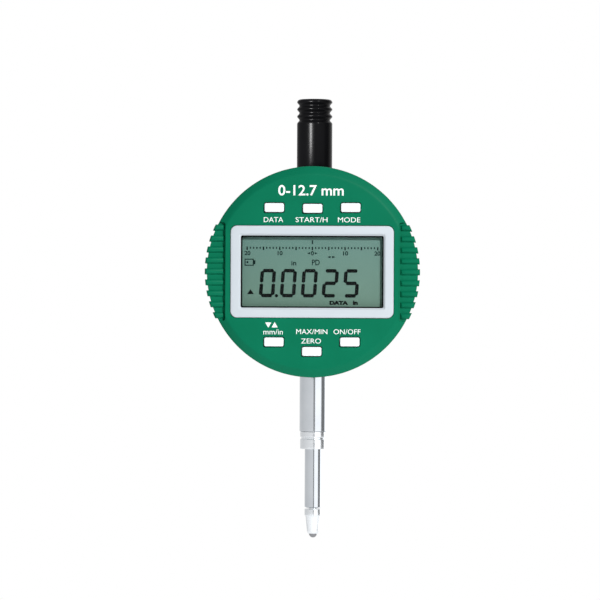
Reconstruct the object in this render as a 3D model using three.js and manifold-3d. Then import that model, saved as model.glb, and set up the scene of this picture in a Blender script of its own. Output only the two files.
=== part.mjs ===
// Electronic digital indicator with 12.7 mm of travel, as the pieces it is assembled from.
//
// Millimetres, +Z up along the spindle, display facing -Y. The origin is on the spindle
// axis, within 0.2 mm of half way along the clamping length of the 8 mm stem. Every piece
// is laid out from the centre of the round case, which stands caseHeight above the origin.

import * as THREE from 'three';
import { mergeVertices } from 'three/addons/utils/BufferGeometryUtils.js';
import Module from 'manifold-3d';

const wasm = await Module();
wasm.setup();

// ---------------------------------------------------------------- driving dimensions

const caseHeight = 37.65;
const gap = 0.1; // running clearance between two pieces
const tiny = 0.2; // overlap of joined shapes, and small edge bevels
const past = 1; // how far a cutting tool runs past the surface it cuts
const facets = { case: 60, barrel: 24, small: 12, screw: 8, curve: 6 };

// Round case: a front and a rear shell that meet on a parting plane
const body = {
  radius: 29.9, faceRadius: 27.6, faceY: -17, shoulderY: -15.6,
  partingY: -5.85, rearShoulderY: 8.5, rearY: 9.5, rearEdgeRadius: 28.9,
  cavityRadius: 27.4, frontCavityY: -13.2, pocketRadius: 26.8, pocketHalfWidth: 23.1, pocketY: -15,
};
const grip = {
  chord: 24.5, ribChord: 24.95, halfHeight: 14, floorY: -15.4,
  ribRadius: 30.48, ribY: -16.1, ribBevel: 0.5, ribPitch: 3.11, ribHeight: 1.6, ribCount: 9,
};
const rear = { ledgeRadius: 22.8, ledgeY: 5.8, recessRadius: 28.05, recessY: 7.5 };

// Window stack, from the bezel back to the display glass
const bezel = { width: 46.1, height: 26, corner: 1.8, frontY: -17.4, backY: -16.1, collarY: -15.2 };
const collar = { width: 43.7, height: 23.6, corner: 0.9 };
const sight = { width: 40.4, height: 20.4, bevel: 0.45, corner: 0.6 };
const lens = { width: 42, height: 21.9, corner: 0.5, y: [-16.2, -15.4] };
const display = { width: 44, height: 23.8, y: [-14.9, -12.9] };
const displayRing = { width: 45.8, height: 26.4, openWidth: 44.4, openHeight: 24.2, y: [-14.9, -9.8] };
const contactStrip = { halfLength: 20, height: 1.7, offset: 10.6, y: [-12.8, -9.8] };

// Push buttons on the face: centre of each, across and up from the centre of the case
const buttons = {
  button_data: [-10.75, 18.1],
  button_hold: [0.1, 17.9],
  button_mode: [10.85, 18.15],
  button_units: [-10.7, -19.85],
  button_zero: [0, -22.5],
  button_power: [10.75, -19.75],
};
const button = {
  width: 5.46, height: 2.5, corner: 0.5, clearance: 0.22, flange: 0.7,
  frontY: -17.8, flangeY: -14.9, flangeBackY: -13.9, plungerY: -13.2, plungerRadius: 1.2,
};
const keypad = { y: [-11.2, -9.9], domeY: -12.6, domeRadius: 1.7, halfWidth: 14.4 };
const keypadRows = { keypad_upper: [15.5, 20.5], keypad_lower: [-25.2, -17.4] };

// Fixings
const caseScrew = {
  x: 19, z: 16.6, radius: 1, headRadius: 1.8, headY: 9.4, coneY: 8.4, tipY: -8,
  crossReach: 1.2, crossHalfWidth: 0.25, crossDepth: 0.5,
};
const ear = { radius: 2.5, reach: 4, y: [-8.1, -5.95] };
const boardScrew = {
  x: 5.6, z: 23.6, radius: 0.6, headRadius: 1.3, y: [-12.6, -8.2], headY: -7.5,
  bossRadius: 1.5, reliefRadius: 1.8,
};
const chassisScrew = { x: 8.8, z: 22.8, radius: 1, headRadius: 1.8, headY: -6.5, y: [-5.5, 7.2] };

// Measuring axis
const stem = { radius: 4, bore: 3.2, z: [-45.75, -22.5] };
const noseBush = { neckRadius: 3.8, grooveRadius: 3.5, collarRadius: 3.8, spigotZ: -43.5 };
const noseBushZ = { top: -45.85, neck: -47.45, collar: -47.95, end: -50.8 };
const guideTube = { radius: 4, bore: 3.2, z: [21.5, 42.6] };
const bushRadius = 3.12;
const lowerBushZ = [-43, -34];
const upperBushZ = [35, 42.5];
const spindle = { radius: 2.45, bore: 2.52, z: [-67.7, 46.5], studRadius: 1.4, studZ: 48.6 };
const tip = {
  z: -68.1, collarZ: -70.05, coneRadius: 2.15, endRadius: 1.6, endZ: -75.2, stud: 1.2, studZ: -63.4,
};
const ball = {
  radius: 1.15, z: -75.24, around: 16, along: 10, seatAround: 12, seatAlong: 8,
};
const cap = {
  radius: 5.08, bore: 4.2, z: [29.3, 49.62], boreZ: 43.1, grooveZ: 45.74, groovePitch: 2.06,
  grooveDepth: 0.66, grooveCount: 3, rimRadius: 4.3, rimZ: 49.35,
};
const capSeatZ = 29.05;

// Inner frame, and what rides on the spindle
const chassis = {
  halfWidth: 12.5, blockY: [-5.4, 5.6], railX: [6, 8.4], railY: [-3.4, 3],
  lowerZ: [-26, -19], ledgeZ: -15.8, upperZ: [20.4, 26],
};
const carrier = {
  halfWidth: 5.2, y: [-3.9, 3.4], z: [-14.4, -3.7], armX: 12.1, armY: [3.3, 4.3], armZ: [-7.4, -4.2],
};
const clampScrew = { z: -10, radius: 1.2, x: [-5.1, -2.7], socketRadius: 0.6, socketSides: 6 };
const stopWasher = { radius: 3.8, z: [-15.7, -14.5] };
const scaleStrip = { halfWidth: 4.7, y: [-4.9, -4], z: [-17, 7.2] };
const crossPin = { x: 10.8, z: -5.8, radius: 0.8, y: [-1, 6.6] };
const guideRail = {
  x: [8.5, 12.9], y: [-1.6, 2.9], z: [-8.8, 9.4], slotX: [9.8, 11.8], slotY: -1.2, slotZ: [-8, 8.6],
};
const springPost = { z: -17.4, radius: 0.8, y: [3.1, 6.6] };
const spring = {
  y: 5, radius: 1.15, wire: 0.2, z: [-15.2, -8.2], turns: 7, stepsPerTurn: 9, hookSteps: 4, wireSegments: 3,
};

// Electronics
const mainBoard = { radius: 26.2, y: [-9.7, -8.3], notch: 2.8 };
const chip = { x: [-12.5, -3.5], y: [-8.2, -7.1], z: [-9.5, -0.5] };
const sensorBoard = { halfWidth: 8.4, y: [-6.3, -5.3], z: [-5.5, 15] };
const sensorPost = { x: 7.2, z: 13, radius: 1 };
const flex = { halfWidth: 3.5, z: [11, 15.8], thickness: 0.18, clear: 0.12 };

// Battery under a coin-slot cover, and data port under a push-in cover
const battery = {
  x: -15.8, radius: 5.8, y: [1.4, 6.8], canRadius: 5.2, capRadius: 4.6, capStep: 0.5, edge: 0.3,
  holderRadius: 7.15, holderBore: 6.1, holderY: [-0.2, 6.7], holderFloor: 0.8, clipSlotHalf: 1.9,
};
const batteryContact = {
  hole: 1.2, radius: 4.8, foot: 4.6, y: [0.7, 1.3], thickness: 0.2,
  clipX: 0.5, clipY: [1, 6.5], clipHalf: 1.6,
};
const seal = { radius: 7.3, bore: 6 };
const batteryDoor = {
  radius: 7.4, y: [8.75, 9.65], neckRadius: 5.7, neckY: 7, openRadius: 6.6, seatRadius: 7.6, seatY: 8.05,
  slotLength: 10, slotWidth: 1.3, slotDepth: 0.6,
};
const port = {
  halfHeight: 5.6, halfDepth: 2.8, nose: 26.6, flangeX: [22.4, 25.9], flangeHeight: 6.9, flangeDepth: 3.8,
  recessX: 24.8, recessHalfDepth: 1.6, recessHalfHeight: 4.6,
};

// Lug back
const plate = { radius: 27.8, y: [7.6, 9.5] };
const lug = { halfWidth: 3.2, neckY: 12, holeY: 15, holeRadius: 3.25, radius: 5.8, footHalfHeight: 8 };

// ---------------------------------------------------------------- finishes

const finishes = {
  greenPlastic: { color: 0x0e7558, roughness: 0.42, metalness: 0 },
  greyPlastic: { color: 0xd0d8de, roughness: 0.4, metalness: 0 },
  whitePlastic: { color: 0xf3fafc, roughness: 0.35, metalness: 0 },
  blackPlastic: { color: 0x0c0c0d, roughness: 0.12, metalness: 0 },
  darkPlastic: { color: 0x24262a, roughness: 0.5, metalness: 0 },
  clearPlastic: { color: 0xe8f2ee, roughness: 0.05, metalness: 0, transparent: true, opacity: 0.2 },
  displayGlass: { color: 0x64897e, roughness: 0.25, metalness: 0 },
  rubber: { color: 0x3a3c3e, roughness: 0.8, metalness: 0 },
  steel: { color: 0xc9ced4, roughness: 0.15, metalness: 1 },
  castAluminium: { color: 0x9ca0a4, roughness: 0.45, metalness: 1 },
  bronze: { color: 0xa87a44, roughness: 0.35, metalness: 1 },
  circuitBoard: { color: 0x1e5a34, roughness: 0.5, metalness: 0 },
  amberFilm: { color: 0xb4702a, roughness: 0.4, metalness: 0 },
};

// ---------------------------------------------------------------- solids

// Closed geometry turned into a solid that can be joined and cut
function toSolid(geometry) {
  geometry.deleteAttribute('normal');
  geometry.deleteAttribute('uv');
  const welded = mergeVertices(geometry);
  const corners = welded.index.array;
  const kept = [];
  for (let i = 0; i < corners.length; i += 3) {
    const [a, b, c] = corners.slice(i, i + 3);
    if (a !== b && b !== c && c !== a) kept.push(a, b, c);
  }
  return new wasm.Manifold(new wasm.Mesh({
    numProp: 3,
    vertProperties: Float32Array.from(welded.attributes.position.array),
    triVerts: Uint32Array.from(kept),
  }));
}

const join = (...solids) => solids.reduce((whole, next) => whole.add(next));
const cut = (whole, ...tools) => tools.reduce((rest, tool) => rest.subtract(tool), whole);

// Box between low and high limits on each axis
function block(x, y, z) {
  const geometry = new THREE.BoxGeometry(x[1] - x[0], y[1] - y[0], z[1] - z[0]);
  geometry.translate((x[0] + x[1]) / 2, (y[0] + y[1]) / 2, (z[0] + z[1]) / 2);
  return toSolid(geometry);
}

// Profile of [radius, distance along the axis] points, turned about the Y axis
function turnedGeometry(profile, sides) {
  const points = profile.map(([radius, along]) => new THREE.Vector2(radius, along));
  if (THREE.ShapeUtils.area(points) < 0) points.reverse();
  if (points[0].x > 0) points.push(points[0].clone());
  return new THREE.LatheGeometry(points, sides);
}

function turnedY(profile, sides, x = 0, z = 0) {
  return toSolid(turnedGeometry(profile, sides).translate(x, 0, z));
}

function turnedZ(profile, sides) {
  return toSolid(turnedGeometry(profile, sides).rotateX(Math.PI / 2));
}

const discProfile = (radius, [low, high]) => [[0, low], [radius, low], [radius, high], [0, high]];
const ringProfile = (outer, inner, [low, high]) => [
  [inner, low], [outer, low], [outer, high], [inner, high],
];

const rodY = (radius, y, x = 0, z = 0, sides = facets.small) => turnedY(discProfile(radius, y), sides, x, z);
const rodZ = (radius, z, sides = facets.barrel) => turnedZ(discProfile(radius, z), sides);
const tubeZ = (outer, inner, z, sides = facets.barrel) => turnedZ(ringProfile(outer, inner, z), sides);

function rodX(radius, x, y, z, sides = facets.small) {
  const geometry = turnedGeometry(discProfile(radius, x), sides).rotateZ(-Math.PI / 2);
  return toSolid(geometry.translate(0, y, z));
}

// Outline in X and Z given a thickness along Y
function plateY(shape, [front, back], curveSegments = 2) {
  const settings = { depth: back - front, bevelEnabled: false, curveSegments };
  const geometry = new THREE.ExtrudeGeometry(shape, settings);
  return toSolid(geometry.rotateX(Math.PI / 2).translate(0, back, 0));
}

// Outline in Y and Z given a thickness along X
function plateX(shape, [left, right], curveSegments = 4) {
  const settings = { depth: right - left, bevelEnabled: false, curveSegments };
  const geometry = new THREE.ExtrudeGeometry(shape, settings);
  return toSolid(geometry.rotateY(Math.PI / 2).rotateX(Math.PI / 2).translate(left, 0, 0));
}

function roundedRectangle(width, height, corner, x = 0, z = 0) {
  const right = width / 2 - corner;
  const top = height / 2 - corner;
  const quarter = Math.PI / 2;
  const shape = new THREE.Shape();
  shape.absarc(x + right, z - top, corner, -quarter, 0);
  shape.absarc(x + right, z + top, corner, 0, quarter);
  shape.absarc(x - right, z + top, corner, quarter, 2 * quarter);
  shape.absarc(x - right, z - top, corner, 2 * quarter, 3 * quarter);
  return shape;
}

// Straight slot with round ends that runs outwards from a point, away from the case centre
function radialSlot(x, z, radius, reach) {
  const angle = Math.atan2(z, x);
  const shape = new THREE.Shape();
  shape.absarc(x, z, radius, angle + Math.PI / 2, angle + 3 * Math.PI / 2);
  const farX = x + reach * Math.cos(angle);
  const farZ = z + reach * Math.sin(angle);
  shape.absarc(farX, farZ, radius, angle - Math.PI / 2, angle + Math.PI / 2);
  return shape;
}

// The four mirrored places of a fixing
const fourPlaces = ({ x, z }) => [[x, z], [-x, z], [-x, -z], [x, -z]];

// ---------------------------------------------------------------- case

// Rib bars on both flanks, cut from one bevelled disc
function gripRibs() {
  const disc = turnedY([
    [0, grip.ribY], [grip.ribRadius - grip.ribBevel, grip.ribY], [grip.ribRadius, grip.ribY + grip.ribBevel],
    [grip.ribRadius, body.partingY - gap / 2], [0, body.partingY - gap / 2],
  ], facets.case);
  const outside = grip.ribRadius + past;
  const bars = [];
  for (let i = 0; i < grip.ribCount; i += 1) {
    const z = (i - (grip.ribCount - 1) / 2) * grip.ribPitch;
    const height = [z - grip.ribHeight / 2, z + grip.ribHeight / 2];
    bars.push(block([grip.ribChord, outside], [body.faceY, 0], height));
    bars.push(block([-outside, -grip.ribChord], [body.faceY, 0], height));
  }
  const cavity = rodY(body.cavityRadius, [body.frontCavityY, 0], 0, 0, facets.case);
  return cut(disc.intersect(join(...bars)), cavity);
}

function screwEars() {
  const ears = fourPlaces(caseScrew).map(([x, z]) => plateY(radialSlot(x, z, ear.radius, ear.reach), ear.y));
  return join(...ears).intersect(rodY(body.radius - past, ear.y, 0, 0, facets.case));
}

function frontShell() {
  const back = body.partingY - gap / 2;
  const wall = turnedY([
    [0, body.frontCavityY], [body.cavityRadius, body.frontCavityY], [body.cavityRadius, back],
    [body.radius, back], [body.radius, body.shoulderY], [body.faceRadius, body.faceY], [0, body.faceY],
  ], facets.case);
  const pocket = rodY(body.pocketRadius, [body.pocketY, body.frontCavityY + tiny], 0, 0, facets.case)
    .intersect(block(
      [-body.pocketHalfWidth, body.pocketHalfWidth],
      [body.faceY, 0],
      [-body.radius, body.radius],
    ));
  const outside = grip.ribRadius + past;
  const gripStep = [[grip.chord, outside], [-outside, -grip.chord]].map((x) =>
    block(x, [body.faceY - past, grip.floorY], [-grip.halfHeight, grip.halfHeight]));
  const through = [body.faceY - past, body.pocketY + past];
  const window = plateY(
    roundedRectangle(collar.width + 2 * tiny, collar.height + 2 * tiny, collar.corner),
    through,
  );
  const rebate = plateY(
    roundedRectangle(bezel.width + 2 * tiny, bezel.height + 2 * tiny, bezel.corner),
    [body.faceY - past, bezel.backY + gap],
  );
  const holeWidth = button.width + 2 * button.clearance;
  const holeHeight = button.height + 2 * button.clearance;
  const buttonHoles = Object.values(buttons).map(([x, z]) =>
    plateY(roundedRectangle(holeWidth, holeHeight, button.corner, x, z), through));
  const bosses = fourPlaces(boardScrew).map(([x, z]) =>
    rodY(boardScrew.bossRadius, [body.pocketY - tiny, mainBoard.y[0] - gap], x, z));
  const pilots = [
    ...fourPlaces(boardScrew).map(([x, z]) =>
      rodY(boardScrew.radius + gap, [boardScrew.y[0] - gap, mainBoard.y[0]], x, z, facets.screw)),
    ...fourPlaces(caseScrew).map(([x, z]) =>
      rodY(caseScrew.radius + gap, [ear.y[0] - past, ear.y[1] + past], x, z, facets.screw)),
  ];
  const blank = join(cut(wall, pocket, ...gripStep), gripRibs(), screwEars(), ...bosses);
  return cut(blank, window, rebate, ...buttonHoles, ...pilots);
}

function rearShell() {
  const front = body.partingY + gap / 2;
  const wall = turnedY([
    [body.cavityRadius, front], [body.radius, front], [body.radius, body.rearShoulderY],
    [body.rearEdgeRadius, body.rearY], [rear.recessRadius, body.rearY], [rear.recessRadius, rear.recessY],
    [rear.ledgeRadius, rear.recessY], [rear.ledgeRadius, rear.ledgeY], [body.cavityRadius, rear.ledgeY],
  ], facets.case);
  const bossY = [front + gap, rear.ledgeY + tiny];
  const bosses = fourPlaces(caseScrew).map(([x, z]) =>
    plateY(radialSlot(x, z, ear.radius, ear.reach), bossY));
  const bossRing = join(...bosses).intersect(rodY(body.radius - past, bossY, 0, 0, facets.case));
  const through = [front - past, rear.recessY + past];
  const screwHoles = [
    ...fourPlaces(caseScrew).map(([x, z]) => rodY(caseScrew.radius + gap, through, x, z, facets.screw)),
    ...fourPlaces(chassisScrew).map(([x, z]) =>
      rodY(chassisScrew.radius + gap, through, x, z, facets.screw)),
  ];
  const stemHole = rodZ(stem.radius + gap, [-body.radius - past, -rear.ledgeRadius]);
  const tubeHole = rodZ(guideTube.radius + gap, [rear.ledgeRadius, body.radius + past]);
  const capSeat = rodZ(cap.radius + 2 * tiny, [capSeatZ, body.radius + past]);
  const reliefY = [rear.ledgeY - past, rear.recessY + past];
  const holderRelief = rodY(battery.holderRadius + tiny, reliefY, battery.x, 0, facets.barrel);
  const portHole = block(
    [port.flangeX[1], body.radius + past],
    [-port.halfDepth, port.halfDepth],
    [-port.halfHeight, port.halfHeight],
  );
  return cut(join(wall, bossRing), ...screwHoles, stemHole, tubeHole, capSeat, holderRelief, portHole);
}

// Back plate and its fastening lug, in one casting
function backPlate() {
  const disc = rodY(plate.radius, plate.y, 0, 0, facets.case);
  const foot = plate.y[1] - tiny;
  const outline = new THREE.Shape();
  outline.moveTo(foot, -lug.footHalfHeight);
  outline.lineTo(lug.neckY, -lug.radius);
  outline.absarc(lug.holeY, 0, lug.radius, -Math.PI / 2, Math.PI / 2);
  outline.lineTo(lug.neckY, lug.radius);
  outline.lineTo(foot, lug.footHalfHeight);
  const tab = plateX(outline, [-lug.halfWidth, lug.halfWidth], facets.curve);
  const across = [-lug.halfWidth - past, lug.halfWidth + past];
  const lugHole = rodX(lug.holeRadius, across, lug.holeY, 0, facets.barrel);
  const [low, high] = [plate.y[0] - past, plate.y[1] + past];
  const open = rodY(batteryDoor.openRadius, [low, high], battery.x, 0, facets.barrel);
  const seat = rodY(batteryDoor.seatRadius, [batteryDoor.seatY, high], battery.x, 0, facets.barrel);
  const countersinks = fourPlaces(caseScrew).map(([x, z]) => turnedY([
    [0, low], [caseScrew.radius + gap, low], [caseScrew.radius + gap, caseScrew.coneY - gap],
    [caseScrew.headRadius + gap, caseScrew.headY - gap], [caseScrew.headRadius + gap, high], [0, high],
  ], facets.small, x, z));
  return cut(join(disc, tab), lugHole, open, seat, ...countersinks);
}

// ---------------------------------------------------------------- window and display

function windowFrame() {
  const flangeY = [bezel.frontY, bezel.backY];
  const flange = plateY(roundedRectangle(bezel.width, bezel.height, bezel.corner), flangeY);
  const skirtY = [bezel.backY - tiny, bezel.collarY];
  const skirt = plateY(roundedRectangle(collar.width, collar.height, collar.corner), skirtY);
  const behind = bezel.collarY + past;
  const opening = plateY(
    roundedRectangle(sight.width, sight.height, sight.corner),
    [bezel.frontY - past, behind],
  );
  const lensPocket = plateY(
    roundedRectangle(lens.width + 2 * tiny, lens.height + 2 * tiny, lens.corner),
    [lens.y[0] - gap, behind],
  );
  return cut(join(flange, skirt), bevelTool(), opening, lensPocket);
}

// Wedge that slopes the front edge of the sight opening
function bevelTool() {
  const geometry = new THREE.BoxGeometry(sight.width, past, sight.height);
  const corners = geometry.attributes.position;
  for (let i = 0; i < corners.count; i += 1) {
    const spread = corners.getY(i) < 0 ? 1 : 0;
    corners.setX(i, corners.getX(i) + Math.sign(corners.getX(i)) * sight.bevel * spread);
    corners.setZ(i, corners.getZ(i) + Math.sign(corners.getZ(i)) * sight.bevel * spread);
  }
  return toSolid(geometry.translate(0, bezel.frontY + past / 2, 0));
}

const windowLens = () => plateY(roundedRectangle(lens.width, lens.height, lens.corner), lens.y);

const lcdPanel = () => block(
  [-display.width / 2, display.width / 2],
  display.y,
  [-display.height / 2, display.height / 2],
);

function lcdFrame() {
  const { width, height, openWidth, openHeight, y } = displayRing;
  const outside = block([-width / 2, width / 2], y, [-height / 2, height / 2]);
  const through = [y[0] - past, y[1] + past];
  const inside = block([-openWidth / 2, openWidth / 2], through, [-openHeight / 2, openHeight / 2]);
  return cut(outside, inside);
}

function contactStripAt(side) {
  const middle = side * contactStrip.offset;
  const height = [middle - contactStrip.height / 2, middle + contactStrip.height / 2];
  return block([-contactStrip.halfLength, contactStrip.halfLength], contactStrip.y, height);
}

// ---------------------------------------------------------------- buttons and keypads

function pushButton(x, z) {
  const { width, height, corner, flange } = button;
  const key = plateY(roundedRectangle(width, height, corner, x, z), [button.frontY, button.flangeY + tiny]);
  const rim = block(
    [x - width / 2 - flange, x + width / 2 + flange],
    [button.flangeY, button.flangeBackY],
    [z - height / 2 - flange, z + height / 2 + flange],
  );
  const plunger = rodY(button.plungerRadius, [button.flangeBackY - tiny, button.plungerY], x, z);
  return join(key, rim, plunger);
}

// Silicone mat with one dome behind each button of its row
function keypadMat(low, high) {
  const disc = rodY(mainBoard.radius - tiny, keypad.y, 0, 0, facets.case);
  const through = [keypad.domeY - past, keypad.y[1] + past];
  const mat = disc.intersect(block([-keypad.halfWidth, keypad.halfWidth], through, [low, high]));
  const domes = Object.values(buttons)
    .filter(([, z]) => z > low && z < high)
    .map(([x, z]) => rodY(keypad.domeRadius, [keypad.domeY, keypad.y[0] + tiny], x, z));
  const bossHoles = fourPlaces(boardScrew).map(([x, z]) => rodY(boardScrew.reliefRadius, through, x, z));
  return cut(join(mat, ...domes), ...bossHoles);
}

// ---------------------------------------------------------------- electronics

function mainCircuitBoard() {
  const disc = rodY(mainBoard.radius, mainBoard.y, 0, 0, facets.case);
  const through = [mainBoard.y[0] - past, mainBoard.y[1] + past];
  const notches = fourPlaces(caseScrew).map(([x, z]) =>
    plateY(radialSlot(x, z, mainBoard.notch, ear.reach + past), through));
  const holes = fourPlaces(boardScrew).map(([x, z]) =>
    rodY(boardScrew.radius + gap, through, x, z, facets.screw));
  return cut(disc, ...notches, ...holes);
}

const processorChip = () => block(chip.x, chip.y, chip.z);

const sensorCircuitBoard = () => block(
  [-sensorBoard.halfWidth, sensorBoard.halfWidth],
  sensorBoard.y,
  sensorBoard.z,
);

// Ribbon that folds over from the sensor board to the main board
function flexCable() {
  const backY = sensorBoard.y[0] - flex.clear;
  const frontY = mainBoard.y[1] + flex.clear;
  const middle = (backY + frontY) / 2;
  const outer = (backY - frontY) / 2;
  const inner = outer - flex.thickness;
  const outline = new THREE.Shape();
  outline.moveTo(backY, flex.z[0]);
  outline.absarc(middle, flex.z[1], outer, 0, Math.PI);
  outline.lineTo(frontY, flex.z[0]);
  outline.lineTo(frontY + flex.thickness, flex.z[0]);
  outline.absarc(middle, flex.z[1], inner, Math.PI, 0, true);
  outline.lineTo(backY - flex.thickness, flex.z[0]);
  return plateX(outline, [-flex.halfWidth, flex.halfWidth], facets.curve);
}

function batteryHolder() {
  const [floorY, rimY] = battery.holderY;
  const cup = turnedY([
    [0, floorY], [battery.holderRadius, floorY], [battery.holderRadius, rimY],
    [battery.holderBore, rimY],
    [battery.holderBore, floorY + battery.holderFloor],
    [0, floorY + battery.holderFloor],
  ], facets.barrel, battery.x);
  const clipSlot = block(
    [battery.x + battery.radius, battery.x + battery.holderRadius + past],
    [floorY + battery.holderFloor, rimY + past],
    [-battery.clipSlotHalf, battery.clipSlotHalf],
  );
  return cut(cup, clipSlot);
}

const batteryCell = () => turnedY([
  [0, battery.y[0]], [battery.capRadius, battery.y[0]], [battery.canRadius, battery.y[0] + battery.capStep],
  [battery.radius, battery.y[0] + battery.capStep + tiny], [battery.radius, battery.y[1] - battery.edge],
  [battery.radius - battery.edge, battery.y[1]], [0, battery.y[1]],
], facets.barrel, battery.x);

// Dished washer that presses on the underside of the cell
function batterySpring() {
  const { hole, radius, foot, y, thickness } = batteryContact;
  return turnedY([
    [hole, y[1] - thickness], [foot, y[0]], [radius, y[0]], [radius, y[0] + thickness], [hole, y[1]],
  ], facets.small, battery.x);
}

const batteryClip = () => block(
  [battery.x + battery.radius + gap, battery.x + battery.radius + batteryContact.clipX],
  batteryContact.clipY,
  [-batteryContact.clipHalf, batteryContact.clipHalf],
);

const batterySeal = () => turnedY(
  ringProfile(seal.radius, seal.bore, [batteryDoor.seatY + gap, batteryDoor.y[0] - gap]),
  facets.barrel, battery.x,
);

function batteryCover() {
  const { radius, y, neckRadius, neckY, slotLength, slotWidth, slotDepth } = batteryDoor;
  const disc = turnedY([
    [0, neckY], [neckRadius, neckY], [neckRadius, y[0]], [radius, y[0]],
    [radius, y[1] - tiny], [radius - tiny, y[1]], [0, y[1]],
  ], facets.barrel, battery.x);
  const coinSlot = block(
    [battery.x - slotWidth / 2, battery.x + slotWidth / 2],
    [y[1] - slotDepth, y[1] + past],
    [-slotLength / 2, slotLength / 2],
  );
  return cut(disc, coinSlot);
}

function dataSocket() {
  const { halfHeight, halfDepth, nose, flangeX, flangeHeight, flangeDepth } = port;
  const flange = block(flangeX, [-flangeDepth, flangeDepth], [-flangeHeight, flangeHeight]);
  const shroud = block(
    [flangeX[1] - tiny, nose],
    [-halfDepth + tiny, halfDepth - tiny],
    [-halfHeight + tiny, halfHeight - tiny],
  );
  const { recessX, recessHalfDepth, recessHalfHeight } = port;
  const recess = block(
    [recessX, nose + past],
    [-recessHalfDepth, recessHalfDepth],
    [-recessHalfHeight, recessHalfHeight],
  );
  return cut(join(flange, shroud), recess);
}

// Push-in cover, its outer face part of the round of the case
function portCover() {
  const plug = block(
    [port.nose + gap, body.radius + past],
    [-port.halfDepth + tiny, port.halfDepth - tiny],
    [-port.halfHeight + tiny, port.halfHeight - tiny],
  );
  const plugY = [-port.halfDepth - past, port.halfDepth + past];
  return plug.intersect(rodY(body.radius, plugY, 0, 0, facets.case));
}

// ---------------------------------------------------------------- inner frame

function chassisFrame() {
  const { halfWidth, blockY, railX, railY, lowerZ, ledgeZ, upperZ } = chassis;
  const across = [-halfWidth, halfWidth];
  const rails = [railX, [-railX[1], -railX[0]]].map((x) =>
    block(x, railY, [lowerZ[1] - past, upperZ[0] + past]));
  const posts = [sensorPost.x, -sensorPost.x].map((x) =>
    rodY(sensorPost.radius, [sensorBoard.y[1] + gap, railY[0] + past], x, sensorPost.z));
  const blank = join(
    block(across, blockY, lowerZ),
    block(across, railY, [lowerZ[1] - past, ledgeZ]),
    block(across, blockY, upperZ),
    ...rails,
    ...posts,
  ).intersect(rodY(body.cavityRadius - tiny, [mainBoard.y[1], rear.recessY], 0, 0, facets.case));
  const stemSocket = rodZ(stem.radius + gap, [-body.cavityRadius - past, stem.z[1] + gap]);
  const spindleBore = rodZ(spindle.radius + tiny, [lowerZ[0], ledgeZ + past]);
  const tubeSocket = rodZ(guideTube.radius + gap, [upperZ[0] - past, body.cavityRadius + past]);
  const screwHoles = fourPlaces(chassisScrew).map(([x, z]) =>
    rodY(chassisScrew.radius + gap, [blockY[0] - past, blockY[1] + past], x, z, facets.screw));
  return cut(blank, stemSocket, spindleBore, tubeSocket, ...screwHoles);
}

function antiRotationRail() {
  const channel = block(guideRail.x, guideRail.y, guideRail.z);
  const slot = block(guideRail.slotX, [guideRail.slotY, guideRail.y[1] + past], guideRail.slotZ);
  return cut(channel, slot);
}

const springAnchor = () => rodY(springPost.radius, springPost.y, crossPin.x, springPost.z);

// Extension spring: a hook round each pin, and the close turns between them
function springPath() {
  const { x } = crossPin;
  const { y, radius, z, turns, stepsPerTurn, hookSteps } = spring;
  const points = [];
  for (let i = 0; i <= hookSteps; i += 1) {
    const angle = Math.PI * (1 + i / hookSteps);
    points.push(new THREE.Vector3(x + radius * Math.cos(angle), y, springPost.z + radius * Math.sin(angle)));
  }
  const steps = turns * stepsPerTurn;
  for (let i = 0; i <= steps; i += 1) {
    const angle = (2 * Math.PI * i) / stepsPerTurn;
    const height = z[0] + ((z[1] - z[0]) * i) / steps;
    points.push(new THREE.Vector3(x + radius * Math.cos(angle), y + radius * Math.sin(angle), height));
  }
  for (let i = 0; i <= hookSteps; i += 1) {
    const angle = (Math.PI * i) / hookSteps;
    points.push(new THREE.Vector3(x + radius * Math.cos(angle), y, crossPin.z + radius * Math.sin(angle)));
  }
  return points;
}

function returnSpring() {
  const points = springPath();
  const section = new THREE.Shape();
  section.absarc(0, 0, spring.wire, 0, 2 * Math.PI);
  return toSolid(new THREE.ExtrudeGeometry(section, {
    extrudePath: new THREE.CatmullRomCurve3(points),
    steps: points.length - 1,
    curveSegments: spring.wireSegments,
    bevelEnabled: false,
  }));
}

// ---------------------------------------------------------------- stem and bearings

function stemNoseBush() {
  return turnedZ([
    [spindle.bore, noseBushZ.end],
    [noseBush.collarRadius, noseBushZ.end],
    [noseBush.collarRadius, noseBushZ.collar],
    [noseBush.grooveRadius, noseBushZ.collar],
    [noseBush.grooveRadius, noseBushZ.neck],
    [noseBush.neckRadius, noseBushZ.neck],
    [stem.radius, noseBushZ.top],
    [bushRadius, noseBushZ.top],
    [bushRadius, noseBush.spigotZ],
    [spindle.bore, noseBush.spigotZ],
  ], facets.barrel);
}

// ---------------------------------------------------------------- measuring spindle

function spindleRod() {
  const rod = turnedZ([
    [0, spindle.z[0]], [spindle.radius - tiny, spindle.z[0]], [spindle.radius, spindle.z[0] + tiny],
    [spindle.radius, spindle.z[1]], [spindle.studRadius, spindle.z[1]],
    [spindle.studRadius, spindle.studZ], [0, spindle.studZ],
  ], facets.barrel);
  return cut(rod, rodZ(tip.stud + gap, [spindle.z[0] - past, tip.studZ + gap], facets.small));
}

function contactPoint() {
  const point = turnedZ([
    [0, tip.endZ], [tip.endRadius, tip.endZ], [tip.coneRadius, tip.collarZ], [spindle.radius, tip.collarZ],
    [spindle.radius, tip.z], [tip.stud, tip.z], [tip.stud, tip.studZ], [0, tip.studZ],
  ], facets.barrel);
  const socket = new THREE.SphereGeometry(ball.radius + gap, ball.seatAround, ball.seatAlong);
  socket.rotateX(Math.PI / 2).translate(0, 0, ball.z);
  return cut(point, toSolid(socket));
}

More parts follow.
